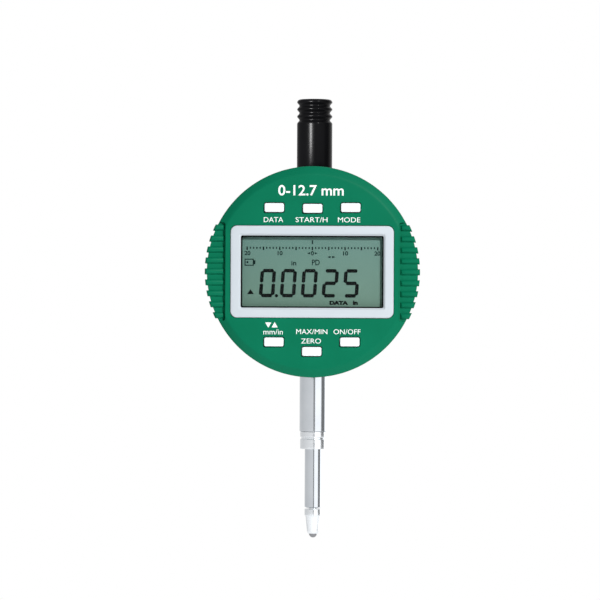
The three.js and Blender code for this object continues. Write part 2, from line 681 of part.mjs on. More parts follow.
function contactBall() {
  const geometry = new THREE.SphereGeometry(ball.radius, ball.around, ball.along);
  return toSolid(geometry.rotateX(Math.PI / 2).translate(0, 0, ball.z));
}

// Radius of the finger grooves: round valleys with round crests as wide between them
function grooveRadius(z) {
  const turn = (2 * Math.PI * (z - cap.grooveZ)) / cap.groovePitch;
  return cap.radius - (cap.grooveDepth * (1 + Math.cos(turn))) / 2;
}

function liftingCap() {
  const grooveStart = cap.grooveZ - (cap.grooveCount * cap.groovePitch) / 2;
  const profile = [[0, cap.z[0]], [cap.radius, cap.z[0]]];
  for (let i = 0; i <= cap.grooveCount * facets.curve; i += 1) {
    const z = grooveStart + (i * cap.groovePitch) / facets.curve;
    profile.push([grooveRadius(z), z]);
  }
  profile.push([cap.radius - tiny, cap.rimZ], [cap.rimRadius, cap.z[1]], [0, cap.z[1]]);
  const shell = turnedZ(profile, facets.barrel);
  return cut(
    shell,
    rodZ(cap.bore, [cap.z[0] - past, cap.boreZ]),
    rodZ(spindle.radius + gap, [cap.z[0], spindle.z[1] + tiny]),
    rodZ(spindle.studRadius + gap, [cap.z[0], spindle.studZ + tiny], facets.small),
  );
}

// Clamp on the spindle that carries the scale strip and the cross pin
function spindleCarrier() {
  const clamp = block([-carrier.halfWidth, carrier.halfWidth], carrier.y, carrier.z);
  const arm = block([carrier.halfWidth - past, carrier.armX], carrier.armY, carrier.armZ);
  return cut(
    join(clamp, arm),
    rodZ(spindle.radius + gap, [carrier.z[0] - past, carrier.z[1] + past]),
    rodY(crossPin.radius + gap, [carrier.armY[0] - past, carrier.armY[1] + past], crossPin.x, crossPin.z),
    rodX(clampScrew.radius + gap, [-carrier.halfWidth - past, 0], 0, clampScrew.z),
  );
}

function carrierScrew() {
  const [outer, inner] = clampScrew.x;
  const { socketRadius, socketSides, z } = clampScrew;
  const socket = rodX(socketRadius, [outer - past, outer + past], 0, z, socketSides);
  return cut(rodX(clampScrew.radius, [outer, inner], 0, clampScrew.z, facets.screw), socket);
}

const encoderStrip = () => block([-scaleStrip.halfWidth, scaleStrip.halfWidth], scaleStrip.y, scaleStrip.z);
const spindleStop = () => tubeZ(stopWasher.radius, spindle.radius + gap, stopWasher.z);
const guidePin = () => rodY(crossPin.radius, crossPin.y, crossPin.x, crossPin.z);

// ---------------------------------------------------------------- screws

function countersunkScrew(x, z) {
  const { radius, headRadius, headY, coneY, tipY, crossReach, crossHalfWidth, crossDepth } = caseScrew;
  const blank = turnedY([
    [0, tipY], [radius, tipY], [radius, coneY], [headRadius, headY], [0, headY],
  ], facets.screw, x, z);
  const crossY = [headY - crossDepth, headY + past];
  const bladeAt = (halfX, halfZ) => block([x - halfX, x + halfX], crossY, [z - halfZ, z + halfZ]);
  return cut(blank, bladeAt(crossReach, crossHalfWidth), bladeAt(crossHalfWidth, crossReach));
}

const boardFixing = (x, z) => turnedY([
  [0, boardScrew.y[0]], [boardScrew.radius, boardScrew.y[0]], [boardScrew.radius, boardScrew.y[1]],
  [boardScrew.headRadius, boardScrew.y[1]], [boardScrew.headRadius, boardScrew.headY], [0, boardScrew.headY],
], facets.screw, x, z);

const chassisFixing = (x, z) => turnedY([
  [0, chassisScrew.headY], [chassisScrew.headRadius, chassisScrew.headY],
  [chassisScrew.headRadius, chassisScrew.y[0]], [chassisScrew.radius, chassisScrew.y[0]],
  [chassisScrew.radius, chassisScrew.y[1]], [0, chassisScrew.y[1]],
], facets.screw, x, z);

// ---------------------------------------------------------------- assembly

function addPiece(group, name, solid, finish) {
  const { vertProperties, triVerts } = solid.getMesh();
  const geometry = new THREE.BufferGeometry();
  geometry.setAttribute('position', new THREE.BufferAttribute(vertProperties, 3));
  geometry.setIndex(new THREE.BufferAttribute(triVerts, 1));
  geometry.computeVertexNormals();
  const mesh = new THREE.Mesh(geometry, new THREE.MeshStandardMaterial(finish));
  mesh.name = name;
  group.add(mesh);
}

function housingGroup() {
  const group = new THREE.Group();
  const add = (name, solid, finish) => addPiece(group, name, solid, finish);
  add('front_shell', frontShell(), finishes.greenPlastic);
  add('rear_shell', rearShell(), finishes.greenPlastic);
  add('back_plate', backPlate(), finishes.castAluminium);
  add('window_frame', windowFrame(), finishes.greyPlastic);
  add('window_lens', windowLens(), finishes.clearPlastic);
  add('lcd_panel', lcdPanel(), finishes.displayGlass);
  add('lcd_frame', lcdFrame(), finishes.darkPlastic);
  add('contact_strip_upper', contactStripAt(1), finishes.rubber);
  add('contact_strip_lower', contactStripAt(-1), finishes.rubber);
  for (const [name, row] of Object.entries(keypadRows)) add(name, keypadMat(...row), finishes.rubber);
  add('main_board', mainCircuitBoard(), finishes.circuitBoard);
  add('processor_chip', processorChip(), finishes.darkPlastic);
  add('sensor_board', sensorCircuitBoard(), finishes.circuitBoard);
  add('flex_cable', flexCable(), finishes.amberFilm);
  add('battery_holder', batteryHolder(), finishes.darkPlastic);
  add('battery_cell', batteryCell(), finishes.steel);
  add('battery_spring', batterySpring(), finishes.steel);
  add('battery_clip', batteryClip(), finishes.steel);
  add('battery_seal', batterySeal(), finishes.rubber);
  add('data_socket', dataSocket(), finishes.darkPlastic);
  add('chassis', chassisFrame(), finishes.castAluminium);
  add('guide_rail', antiRotationRail(), finishes.bronze);
  add('spring_post', springAnchor(), finishes.steel);
  add('return_spring', returnSpring(), finishes.steel);
  add('stem', tubeZ(stem.radius, stem.bore, stem.z), finishes.steel);
  add('stem_bush', stemNoseBush(), finishes.steel);
  add('lower_guide_bush', tubeZ(bushRadius, spindle.bore, lowerBushZ), finishes.bronze);
  add('upper_guide_tube', tubeZ(guideTube.radius, guideTube.bore, guideTube.z), finishes.steel);
  add('upper_guide_bush', tubeZ(bushRadius, spindle.bore, upperBushZ), finishes.bronze);
  fourPlaces(caseScrew).forEach(([x, z], i) =>
    add(`back_screw_${i + 1}`, countersunkScrew(x, z), finishes.steel));
  fourPlaces(boardScrew).forEach(([x, z], i) =>
    add(`board_screw_${i + 1}`, boardFixing(x, z), finishes.steel));
  fourPlaces(chassisScrew).forEach(([x, z], i) =>
    add(`chassis_screw_${i + 1}`, chassisFixing(x, z), finishes.steel));
  return group;
}

function spindleGroup() {
  const group = new THREE.Group();
  const add = (name, solid, finish) => addPiece(group, name, solid, finish);
  add('spindle', spindleRod(), finishes.steel);
  add('contact_point', contactPoint(), finishes.steel);
  add('contact_ball', contactBall(), finishes.steel);
  add('lifting_cap', liftingCap(), finishes.blackPlastic);
  add('spindle_carrier', spindleCarrier(), finishes.castAluminium);
  add('carrier_screw', carrierScrew(), finishes.steel);
  add('scale_strip', encoderStrip(), finishes.displayGlass);
  add('guide_pin', guidePin(), finishes.steel);
  add('stop_washer', spindleStop(), finishes.rubber);
  return group;
}

function controlGroup() {
  const group = new THREE.Group();
  for (const [name, [x, z]] of Object.entries(buttons)) {
    addPiece(group, name, pushButton(x, z), finishes.whitePlastic);
  }
  addPiece(group, 'battery_cover', batteryCover(), finishes.darkPlastic);
  addPiece(group, 'port_cover', portCover(), finishes.darkPlastic);
  return group;
}

const group = new THREE.Group();
group.add(housingGroup(), spindleGroup(), controlGroup());
group.position.z = caseHeight;

export default group;
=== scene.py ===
# %% [markdown]
# # A digital dial indicator
#
# A dial indicator measures small movements. Its round case holds a display, and a spindle
# with a ball point slides up through a clamping stem. This one is electronic: a green
# moulded case with a liquid-crystal window, six keys and a black lifting cap.
#
# The mechanical model is already made. It is loaded first and never moved: it says where
# every part is. Each lesson below then makes one visible part finely enough to look at
# closely, or gives a hidden part the surface that it really has.

# %% Load the mechanical model
import math

import bmesh
import bpy
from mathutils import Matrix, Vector


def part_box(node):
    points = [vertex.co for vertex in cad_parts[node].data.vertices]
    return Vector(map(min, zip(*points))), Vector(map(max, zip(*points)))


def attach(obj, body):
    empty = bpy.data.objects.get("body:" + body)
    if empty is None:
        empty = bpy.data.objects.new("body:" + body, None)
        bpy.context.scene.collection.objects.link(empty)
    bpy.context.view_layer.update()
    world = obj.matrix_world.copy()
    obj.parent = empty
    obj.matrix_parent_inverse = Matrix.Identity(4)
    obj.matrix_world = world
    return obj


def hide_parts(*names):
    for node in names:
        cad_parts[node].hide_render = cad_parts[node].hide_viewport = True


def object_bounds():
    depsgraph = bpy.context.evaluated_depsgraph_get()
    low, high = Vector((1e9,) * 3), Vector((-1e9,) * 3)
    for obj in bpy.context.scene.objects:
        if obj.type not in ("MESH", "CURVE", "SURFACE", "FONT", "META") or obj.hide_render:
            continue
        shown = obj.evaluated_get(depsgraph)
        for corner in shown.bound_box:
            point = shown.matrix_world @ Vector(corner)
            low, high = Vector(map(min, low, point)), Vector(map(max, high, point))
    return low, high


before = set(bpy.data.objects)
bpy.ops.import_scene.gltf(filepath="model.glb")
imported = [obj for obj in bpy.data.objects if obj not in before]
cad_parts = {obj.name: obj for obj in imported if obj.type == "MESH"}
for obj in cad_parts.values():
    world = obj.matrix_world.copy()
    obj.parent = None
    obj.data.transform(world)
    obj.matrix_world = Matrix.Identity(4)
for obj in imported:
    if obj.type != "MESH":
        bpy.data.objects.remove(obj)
cad_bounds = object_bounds()
bpy.ops.object.select_all(action="DESELECT")
bpy.context.scene.view_settings.view_transform = "Standard"
print("frame nodes:", len(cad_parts))

# %% [markdown]
# ## Millimetres, and the centre of the case
#
# Blender works in metres, but a drawing of an instrument is in millimetres. Parts are
# described in millimetres from the centre of the round case, with the display towards -Y,
# and are lifted to their real height when they are finished.

# %% Units and places
MM = 0.001
shell_low, shell_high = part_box("rear_shell")
DIAL_HEIGHT = (shell_low.z + shell_high.z) / 2


def cad(node):
    """Lowest and highest corner of a mechanical part, in millimetres from the case centre."""
    low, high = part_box(node)
    lift = Vector((0, 0, DIAL_HEIGHT))
    return (low - lift) / MM, (high - lift) / MM


CASE_RADIUS = cad("rear_shell")[1].x
PARTING_Y = cad("rear_shell")[0].y
FACE_Y = cad("front_shell")[0].y
BACK_Y = cad("rear_shell")[1].y
print("case radius", round(CASE_RADIUS, 2), "face at", round(FACE_Y, 2), "back at", round(BACK_Y, 2))

# %% [markdown]
# ## Turning a part
#
# Most parts here come off a lathe, so one helper turns them. It starts with a circle, then
# extrudes and resizes it along a profile of radii and distances, as you would by hand with
# E and S. A solid part starts from a filled circle. A part with a hole right through starts
# from an open circle and comes back to where it began.

# %% Helpers for turned parts
def select_only(piece):
    bpy.ops.object.select_all(action="DESELECT")
    piece.select_set(True)
    bpy.context.view_layer.objects.active = piece


def eased(profile, reach, steps=3):
    """Rounds the inner corners of a profile over `reach` mm. Its two ends stay as they are."""
    points = [Vector(point) for point in profile]
    soft = [points[0]]
    for before, corner, after in zip(points, points[1:], points[2:]):
        back, onward = before - corner, after - corner
        start = corner + back.normalized() * min(reach, back.length * 0.45)
        end = corner + onward.normalized() * min(reach, onward.length * 0.45)
        for step in range(steps + 1):
            t = step / steps
            soft.append(start * (1 - t) ** 2 + corner * 2 * t * (1 - t) + end * t**2)
    return [tuple(point) for point in soft + points[-1:]]


def turned(name, profile, sides=96, through=False, along="Z"):
    """Turns (radius, distance) points about Z, or about Y for parts that face the reader."""
    radius, height = profile[0]
    bpy.ops.object.select_all(action="DESELECT")
    bpy.ops.mesh.primitive_circle_add(
        vertices=sides,
        radius=radius * MM,
        location=(0, 0, height * MM),
        fill_type="NOTHING" if through else "NGON",
        enter_editmode=True,
    )
    piece = bpy.context.object
    piece.name = name
    for next_radius, next_height in profile[1:] + (profile[:1] if through else []):
        rise = (0, 0, (next_height - height) * MM)
        bpy.ops.mesh.extrude_region_move(TRANSFORM_OT_translate={"value": rise})
        ratio = next_radius / radius
        bpy.ops.transform.resize(value=(ratio, ratio, 1), center_override=(0, 0, next_height * MM))
        radius, height = next_radius, next_height
    bpy.ops.mesh.select_all(action="SELECT")
    bpy.ops.mesh.remove_doubles(threshold=1e-6)
    bpy.ops.mesh.normals_make_consistent(inside=False)
    bpy.ops.object.mode_set(mode="OBJECT")
    settle(piece)
    if along == "Y":
        piece.rotation_euler = (-math.pi / 2, 0, 0)
    if along == "X":
        piece.rotation_euler = (0, math.pi / 2, 0)
    settle(piece)
    return piece


def settle(piece):
    """Puts the object's place, turn and scale into its mesh."""
    select_only(piece)
    bpy.ops.object.transform_apply(location=True, rotation=True, scale=True)


# %% [markdown]
# ## Blocks, cutters and finishing
#
# Flat parts start from a cube with its size and place. The edges that run front to back are
# bevelled into round corners, and then the front rim gets its own small rounding. Openings
# are made by subtracting such a block, and every finished part goes through one function
# that lifts it to its height, smooths it, gives it its material and lets it ride on its body.

# %% Helpers for blocks, cuts and finished parts
def pick_edges(piece, wanted):
    """In edit mode, selects the edges whose two ends pass a test given in millimetres."""
    bpy.ops.mesh.select_mode(type="EDGE")
    bpy.ops.mesh.select_all(action="DESELECT")
    mesh = bmesh.from_edit_mesh(piece.data)
    for edge in mesh.edges:
        edge.select_set(wanted(*(vertex.co / MM for vertex in edge.verts)))
    bmesh.update_edit_mesh(piece.data)


def block(name, low, high, corner=0.0, rim=0.0, back_rim=0.0, flare=0.0):
    """A cube between two corners, with round upright corners, and its front rim eased or flared."""
    low, high = Vector(low), Vector(high)
    middle, size = (low + high) / 2, high - low
    bpy.ops.object.select_all(action="DESELECT")
    bpy.ops.mesh.primitive_cube_add(size=1, location=middle * MM, scale=size * MM)
    piece = bpy.context.object
    piece.name = name
    settle(piece)
    bpy.ops.object.mode_set(mode="EDIT")
    if corner:
        pick_edges(piece, lambda a, b: abs(a.x - b.x) < 1e-3 and abs(a.z - b.z) < 1e-3)
        bpy.ops.mesh.bevel(offset=corner * MM, segments=8, affect="EDGES")
    for reach, depth in ((rim, low.y), (back_rim, high.y)):
        if reach:
            pick_edges(piece, lambda a, b: abs(a.y - depth) < 1e-3 and abs(b.y - depth) < 1e-3)
            bpy.ops.mesh.bevel(offset=reach * MM, segments=3, affect="EDGES")
    if flare:
        pick_edges(piece, lambda a, b: abs(a.y - low.y) < 1e-3 and abs(b.y - low.y) < 1e-3)
        spread = ((size.x + 2 * flare) / size.x, 1, (size.z + 2 * flare) / size.z)
        bpy.ops.transform.resize(value=spread, center_override=middle * MM)
    bpy.ops.object.mode_set(mode="OBJECT")
    return piece


def moved(piece, shift):
    """Moves a part by (x, y, z) mm."""
    piece.location += Vector(shift) * MM
    settle(piece)
    return piece


def copied(piece, shift):
    """A copy with its own mesh, moved by (x, y, z) mm."""
    select_only(piece)
    bpy.ops.object.duplicate(linked=False)
    return moved(bpy.context.object, shift)


def combine(piece, tool, operation="DIFFERENCE"):
    """Cuts a tool away from a part, or joins or crosses the two, and removes the tool."""
    boolean = piece.modifiers.new("combine", "BOOLEAN")
    boolean.object = tool
    boolean.operation = operation
    boolean.solver = "EXACT"
    select_only(piece)
    bpy.ops.object.modifier_apply(modifier=boolean.name)
    bpy.data.objects.remove(tool, do_unlink=True)
    return piece


def joined(pieces, name):
    select_only(pieces[0])
    for piece in pieces[1:]:
        piece.select_set(True)
    bpy.ops.object.join()
    pieces[0].name = name
    return pieces[0]


def finished(piece, body, material, replaces=(), smooth=30):
    """Lifts a part to its real height, hides the parts it replaces and hands it over to its body and
    material.
    """
    piece.location.z += DIAL_HEIGHT
    settle(piece)
    bpy.ops.object.shade_smooth_by_angle(angle=math.radians(smooth))
    piece.data.materials.clear()
    piece.data.materials.append(material)
    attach(piece, body)
    if replaces:
        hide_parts(*replaces)
    print(piece.name, "has", len(piece.data.polygons), "faces")
    return piece


# %% [markdown]
# ## Colour and surface
#
# Colours are chosen as sRGB hex values, the way a paint chart gives them, and one function
# turns them into the linear values that a shader needs. A pattern's scale is worked out
# from the real size of what it imitates. Most finishes share a recipe: two close tones that
# drift over the part, a grain that catches the light, and a gloss that varies a little.

# %% Colour, pattern scale and the shared recipe
def linear(hex_colour):
    channels = [int(hex_colour[i:i + 2], 16) / 255 for i in (0, 2, 4)]
    return tuple(c / 12.92 if c <= 0.04045 else ((c + 0.055) / 1.055) ** 2.4 for c in channels) + (1,)


def scale_for(size_mm):
    """Texture scale that makes one feature `size_mm` across."""
    return 1 / (size_mm * MM)


def add(tree, kind, inputs, **settings):
    """Adds a node, sets its settings, and fills or links its inputs."""
    node = tree.nodes.new(kind)
    for name, value in settings.items():
        setattr(node, name, value)
    for socket, value in inputs.items():
        if isinstance(value, bpy.types.NodeSocket):
            tree.links.new(value, node.inputs[socket])
        else:
            node.inputs[socket].default_value = value
    return node


def new_material(name, **shader_inputs):
    material = bpy.data.materials.new(name)
    material.use_nodes = True
    tree = material.node_tree
    shader = tree.nodes["Principled BSDF"]
    for socket, value in shader_inputs.items():
        shader.inputs[socket.replace("_", " ")].default_value = value
    place = tree.nodes.new("ShaderNodeTexCoord").outputs["Object"]
    return material, tree, shader, place


def surfaced(name, tones, gloss, drift=9.0, grain=0.3, depth=0.01, stretch=(1, 1, 1), **shader_inputs):
    """A finish whose colour drifts between two tones, with a grain `depth` mm deep."""
    material, tree, shader, place = new_material(name, **shader_inputs)
    wide = add(tree, "ShaderNodeTexNoise", {"Vector": place, "Scale": scale_for(drift), "Detail": 3.0})
    drawn = add(tree, "ShaderNodeMapping", {"Vector": place, "Scale": stretch})
    fine = add(tree, "ShaderNodeTexNoise", {
        "Vector": drawn.outputs["Vector"], "Scale": scale_for(grain), "Detail": 4.0, "Roughness": 0.6})
    colour = add(tree, "ShaderNodeMix", {
        0: wide.outputs["Fac"], 6: linear(tones[0]), 7: linear(tones[1])}, data_type="RGBA")
    rough = add(tree, "ShaderNodeMapRange", {
        "Value": fine.outputs["Fac"], "From Min": 0.25, "From Max": 0.75,
        "To Min": gloss[0], "To Max": gloss[1]})
    bump = add(tree, "ShaderNodeBump", {
        "Height": fine.outputs["Fac"], "Strength": 1.0, "Distance": depth * MM})
    tree.links.new(colour.outputs[2], shader.inputs["Base Color"])
    tree.links.new(rough.outputs["Result"], shader.inputs["Roughness"])
    tree.links.new(bump.outputs["Normal"], shader.inputs["Normal"])
    return material


# %% [markdown]
# ## The camera
#
# The camera looks at the middle of the picture from a little to the right of straight ahead,
# and is tipped over by a quarter of a degree. A long lens from almost a metre away keeps the
# round case round.

# %% Camera
LOOK_AT = Vector((-4.02, 0, 29.61)) * MM
DISTANCE = 0.9
YAW = math.radians(2.2)
RISE = math.radians(0.2)
LEAN_OF_CAMERA = math.radians(0.25)
LENS = 187.6
away = Vector((math.sin(YAW) * math.cos(RISE), -math.cos(YAW) * math.cos(RISE), math.sin(RISE)))
camera = bpy.data.objects.new("camera", bpy.data.cameras.new("camera"))
camera.data.lens = LENS
camera.data.sensor_width = 36
camera.location = LOOK_AT + away * DISTANCE
camera.rotation_euler = (-away).to_track_quat("-Z", "Y").to_euler()
camera.rotation_euler.rotate_axis("Z", LEAN_OF_CAMERA)
bpy.context.scene.collection.objects.link(camera)
bpy.context.scene.camera = camera
print("camera at", [round(value, 3) for value in camera.location])

# %% [markdown]
# ## Light
#
# Polished round steel shows its surroundings as upright bands, so the studio is drawn in
# bands too: a bright panel to the right of the camera, a dark flag beside it, pale walls to
# the left and behind. The camera itself sees only a plain white background. A small key
# light, high on the right, throws the short shadow that shows how deep the window is, and a
# narrow strip on the left, above the case, gives the black cap its upright highlight.

# %% Studio walls, key light and strip light
STUDIO = (  # degrees to the right of the camera, brightness
    (-180, 0.85), (-100, 0.8), (-40, 0.92), (-4, 0.98), (1, 0.9), (4, 0.32), (13, 0.32), (17, 1.6),
    (66, 1.6), (74, 0.26), (104, 0.26), (112, 1.7), (150, 1.8), (180, 1.7),
)
world = bpy.data.worlds.new("studio")
world.use_nodes = True
bpy.context.scene.world = world
sky = world.node_tree
looking = sky.nodes.new("ShaderNodeTexCoord")
direction = add(sky, "ShaderNodeSeparateXYZ", {"Vector": looking.outputs["Generated"]})
towards = add(sky, "ShaderNodeMath", {0: direction.outputs["Y"], 1: -1.0}, operation="MULTIPLY")
angle = add(sky, "ShaderNodeMath", {0: direction.outputs["X"], 1: towards.outputs[0]}, operation="ARCTAN2")
turn = add(sky, "ShaderNodeMapRange", {
    "Value": angle.outputs[0], "From Min": -math.pi, "From Max": math.pi, "To Min": 0.0, "To Max": 1.0})
bands = add(sky, "ShaderNodeValToRGB", {"Fac": turn.outputs["Result"]})
stops = bands.color_ramp.elements
for degrees, level in STUDIO:
    at_end = {-180: stops[0], 180: stops[-1]}
    stop = at_end.get(degrees) or stops.new((degrees + 180) / 360)
    stop.color = (level, level, level, 1)
ray = sky.nodes.new("ShaderNodeLightPath")
FILL = 0.2
fill = add(sky, "ShaderNodeMix", {
    0: ray.outputs["Is Glossy Ray"], 6: (FILL, FILL, FILL, 1), 7: bands.outputs["Color"]}, data_type="RGBA")
seen = add(sky, "ShaderNodeMix", {
    0: ray.outputs["Is Camera Ray"], 6: fill.outputs[2], 7: (1, 1, 1, 1)}, data_type="RGBA")
sky.links.new(seen.outputs[2], sky.nodes["Background"].inputs["Color"])
world.cycles.sampling_method = "NONE"


def area_light(name, azimuth, elevation, distance, size, power, aim):
    """A rectangular light at an azimuth to the right of the camera and an elevation, in degrees."""
    light = bpy.data.lights.new(name, "AREA")
    light.shape = "RECTANGLE"
    light.size, light.size_y = size
    light.energy = power
    lamp = bpy.data.objects.new(name, light)
    side, up = math.radians(azimuth), math.radians(elevation)
    reach = Vector((math.sin(side) * math.cos(up), -math.cos(side) * math.cos(up), math.sin(up)))
    lamp.location = aim + reach * distance
    lamp.rotation_euler = (-reach).to_track_quat("-Z", "Y").to_euler()
    bpy.context.scene.collection.objects.link(lamp)
    return lamp


DIAL = Vector((0, 0, DIAL_HEIGHT))
area_light("key_light", 28, 27, 1.1, (0.08, 0.08), 11.2, DIAL)
strip_light = area_light("strip_light", -23, 3, 1.1, (0.2, 0.5), 95.0, DIAL + Vector((0, 0, 0.04)))
print("studio bands:", len(STUDIO))

# %% [markdown]
# ## The floor
#
# The indicator hangs in the air, as if held in a stand that is out of sight. A wide, pale,
# slightly uneven floor lies a hand's breadth below it.

# %% Floor
FLOOR_DROP = 0.07
floor_height = cad_bounds[0].z - FLOOR_DROP
bpy.ops.object.select_all(action="DESELECT")
bpy.ops.mesh.primitive_circle_add(vertices=96, radius=0.34, location=(0, 0, floor_height), fill_type="NGON")
floor = bpy.context.object
floor.name = "studio_floor"
floor.data.materials.append(surfaced(
    "Matt white paint, rolled", ("F7F8F9", "FDFDFD"), gloss=(0.85, 0.95), drift=400, grain=2.0, depth=0.02,
    Emission_Color=(1, 1, 1, 1), Emission_Strength=0.6))
print("floor at", round(floor_height, 3))

# %% [markdown]
# ## Plastics
#
# The case is ABS, moulded in a steel tool whose walls were spark eroded, which leaves a fine
# satin grain. The keys and the window frame are the same plastic, polished a little more.
# The cap on top is a glossy black moulding, and the parts inside are plain dark plastic.

# %% Moulded plastics
green_abs = surfaced(  # a satin green with a fine grain that breaks up the highlights
    "Green ABS, spark-eroded mould", ("036A4B", "077354"), gloss=(0.42, 0.58), grain=0.35, depth=0.006,
    Specular_IOR_Level=0.06)
bezel_abs = surfaced(  # cool pale grey, smoother than the case
    "Pale grey ABS, satin mould", ("C2CAD1", "CAD2D8"), gloss=(0.34, 0.44), grain=0.25, depth=0.003,
    Specular_IOR_Level=0.2)
key_abs = surfaced(  # clean white, slightly glossy
    "White ABS, satin mould", ("E9F1F3", "F0F6F8"), gloss=(0.3, 0.4), grain=0.25, depth=0.003,
    Specular_IOR_Level=0.3)
black_gloss = surfaced(  # black with a clear upright highlight and faint polishing haze
    "Black acetal, polished mould", ("020202", "040405"), gloss=(0.2, 0.28), grain=0.5, depth=0.0015,
    Specular_IOR_Level=0.03)
dark_plastic = surfaced(  # dull charcoal with the coarser grain of a part nobody sees
    "Charcoal ABS, textured mould", ("212327", "2A2C31"), gloss=(0.45, 0.65), grain=0.4, depth=0.012)
silicone = surfaced(  # soft matt grey rubber with a dusty sheen
    "Grey silicone, compression moulded", ("37393B", "414345"), gloss=(0.7, 0.85), grain=0.5, depth=0.01,
    Sheen_Weight=0.25, Sheen_Roughness=0.5)
print("plastics: 6")

# %% [markdown]
# ## Metals
#
# The stem and the spindle are ground between centres, so their fine lines run round them.
# Stretching a noise pattern sideways and keeping it tight along the axis draws those lines.
# The nose and the contact point are turned and left satin. The back is cast and blasted.

# %% Turned, ground, cast and plated metals
AROUND_Z = (0.04, 0.04, 1)
ground_steel = surfaced(  # bright mirror bands with faint rings of grinding
    "Hardened steel, ground and polished", ("BFC4CA", "D3D7DB"), gloss=(0.07, 0.17), drift=6, grain=0.16,
    depth=0.0012, stretch=AROUND_Z, Metallic=1.0)
turned_steel = surfaced(  # satin, with turning rings that soften the bands
    "Stainless steel, turned and satin polished", ("D3D7DB", "E3E6E9"), gloss=(0.14, 0.3), drift=5,
    grain=0.22, depth=0.003, stretch=AROUND_Z, Metallic=1.0)
carbide = surfaced(  # darker than steel and lapped smooth
    "Tungsten carbide, lapped", ("7F8083", "8C8D90"), gloss=(0.08, 0.16), drift=1, grain=0.12, depth=0.0006,
    Metallic=1.0)
cast_aluminium = surfaced(  # soft silver grey with the sparkle of fine blasting
    "Die-cast aluminium, bead blasted", ("A9ADB0", "BABEC1"), gloss=(0.42, 0.6), drift=12, grain=0.28,
    depth=0.014, Metallic=1.0)
nickel = surfaced(  # warm bright plating over turned steel
    "Steel, nickel plated", ("CFCDC6", "DCDAD4"), gloss=(0.16, 0.3), drift=3, grain=0.2, depth=0.002,
    Metallic=1.0)
gold = surfaced(  # thin gold over spring contacts
    "Brass, gold flashed", ("E2B45A", "EFC46C"), gloss=(0.14, 0.24), drift=2, grain=0.15, depth=0.001,
    Metallic=1.0)
print("metals: 6")

# %% [markdown]
# Sintered bronze is pressed from powder, so its surface shows the grains and the pores
# between them, darkened with painted shade. Cells from a Voronoi pattern the size of the
# powder give both.

# %% Sintered bronze
bronze, tree, shader, place = new_material("Bronze, sintered and oiled", Metallic=1.0)
powder = add(
    tree, "ShaderNodeTexVoronoi", {"Vector": place, "Scale": scale_for(0.25)}, feature="DISTANCE_TO_EDGE")
pores = add(tree, "ShaderNodeMapRange", {
    "Value": powder.outputs["Distance"], "From Min": 0.0, "From Max": 0.12, "To Min": 0.0, "To Max": 1.0})
# Painted shade: the colour darkens towards the cell edges, where the pores lie.
colour = add(tree, "ShaderNodeMix", {
    0: pores.outputs["Result"], 6: linear("5A3D1F"), 7: linear("C2935A")}, data_type="RGBA")
oil = add(tree, "ShaderNodeMapRange", {
    "Value": powder.outputs["Distance"], "From Min": 0.0, "From Max": 0.2, "To Min": 0.6, "To Max": 0.25})
grains = add(tree, "ShaderNodeBump", {"Height": pores.outputs["Result"], "Distance": 0.01 * MM})
tree.links.new(colour.outputs[2], shader.inputs["Base Color"])
tree.links.new(oil.outputs["Result"], shader.inputs["Roughness"])
tree.links.new(grains.outputs["Normal"], shader.inputs["Normal"])
print(bronze.name)

# %% [markdown]
# ## The display
#
# A liquid-crystal display is a glass sandwich with a grey-green polariser over a dull
# reflector. Its brightness varies with the reflector's fine sparkle, and painted shade makes it
# a little darker towards the top and lighter towards the bottom. The dark characters are flat
# and matt. The window in front of it is clear acrylic, which needs little more than a low
# alpha and a polished surface.

# %% Display and window
lcd_film, tree, shader, place = new_material(
    "Polariser film over a silver reflector", Specular_IOR_Level=0.2)
height = add(tree, "ShaderNodeSeparateXYZ", {"Vector": place})
# Painted shade: the film's colour shifts with height, a little lighter towards the bottom and darker towards
# the top.
SHADE_GRADIENT_REACH = 11
lighter = add(tree, "ShaderNodeMapRange", {
    "Value": height.outputs["Z"], "From Min": DIAL_HEIGHT - SHADE_GRADIENT_REACH * MM,
    "From Max": DIAL_HEIGHT + SHADE_GRADIENT_REACH * MM, "To Min": 0.0, "To Max": 1.0})
sparkle = add(tree, "ShaderNodeTexNoise", {"Vector": place, "Scale": scale_for(0.16), "Detail": 2.0})
mottle = add(tree, "ShaderNodeMapRange", {
    "Value": sparkle.outputs["Fac"], "From Min": 0.2, "From Max": 0.8, "To Min": -0.2, "To Max": 0.2})
shade = add(
    tree, "ShaderNodeMath", {0: lighter.outputs["Result"], 1: mottle.outputs["Result"]}, operation="ADD")
colour = add(tree, "ShaderNodeMix", {
    0: shade.outputs[0], 6: linear("6F8F80"), 7: linear("688E85")}, data_type="RGBA")
dull = add(tree, "ShaderNodeMapRange", {
    "Value": sparkle.outputs["Fac"], "From Min": 0.2, "From Max": 0.8, "To Min": 0.4, "To Max": 0.6})
tree.links.new(colour.outputs[2], shader.inputs["Base Color"])
tree.links.new(dull.outputs["Result"], shader.inputs["Roughness"])

lcd_glass = surfaced(  # the greenish cut edge of thin glass
    "Display glass, ground edge", ("3E524B", "54695F"), gloss=(0.1, 0.3), drift=4, grain=0.3, depth=0.004)
lcd_ink = surfaced(  # black-green and almost without gloss
    "Darkened liquid crystal", ("030606", "070C0C"), gloss=(0.5, 0.65), drift=3, grain=0.2, depth=0.001,
    Specular_IOR_Level=0.05)
lcd_faint = surfaced(  # small signs are driven less and stay greyer
    "Half-darkened liquid crystal", ("0D201F", "132A29"), gloss=(0.5, 0.65), drift=3, grain=0.2, depth=0.001,
    Specular_IOR_Level=0.08)
acrylic = surfaced(  # clear, with a trace of green and a polished face
    "Clear acrylic, polished", ("1E2B27", "24302C"), gloss=(0.03, 0.07), drift=8, grain=3, depth=0.0005,
    Alpha=0.06, IOR=1.49)
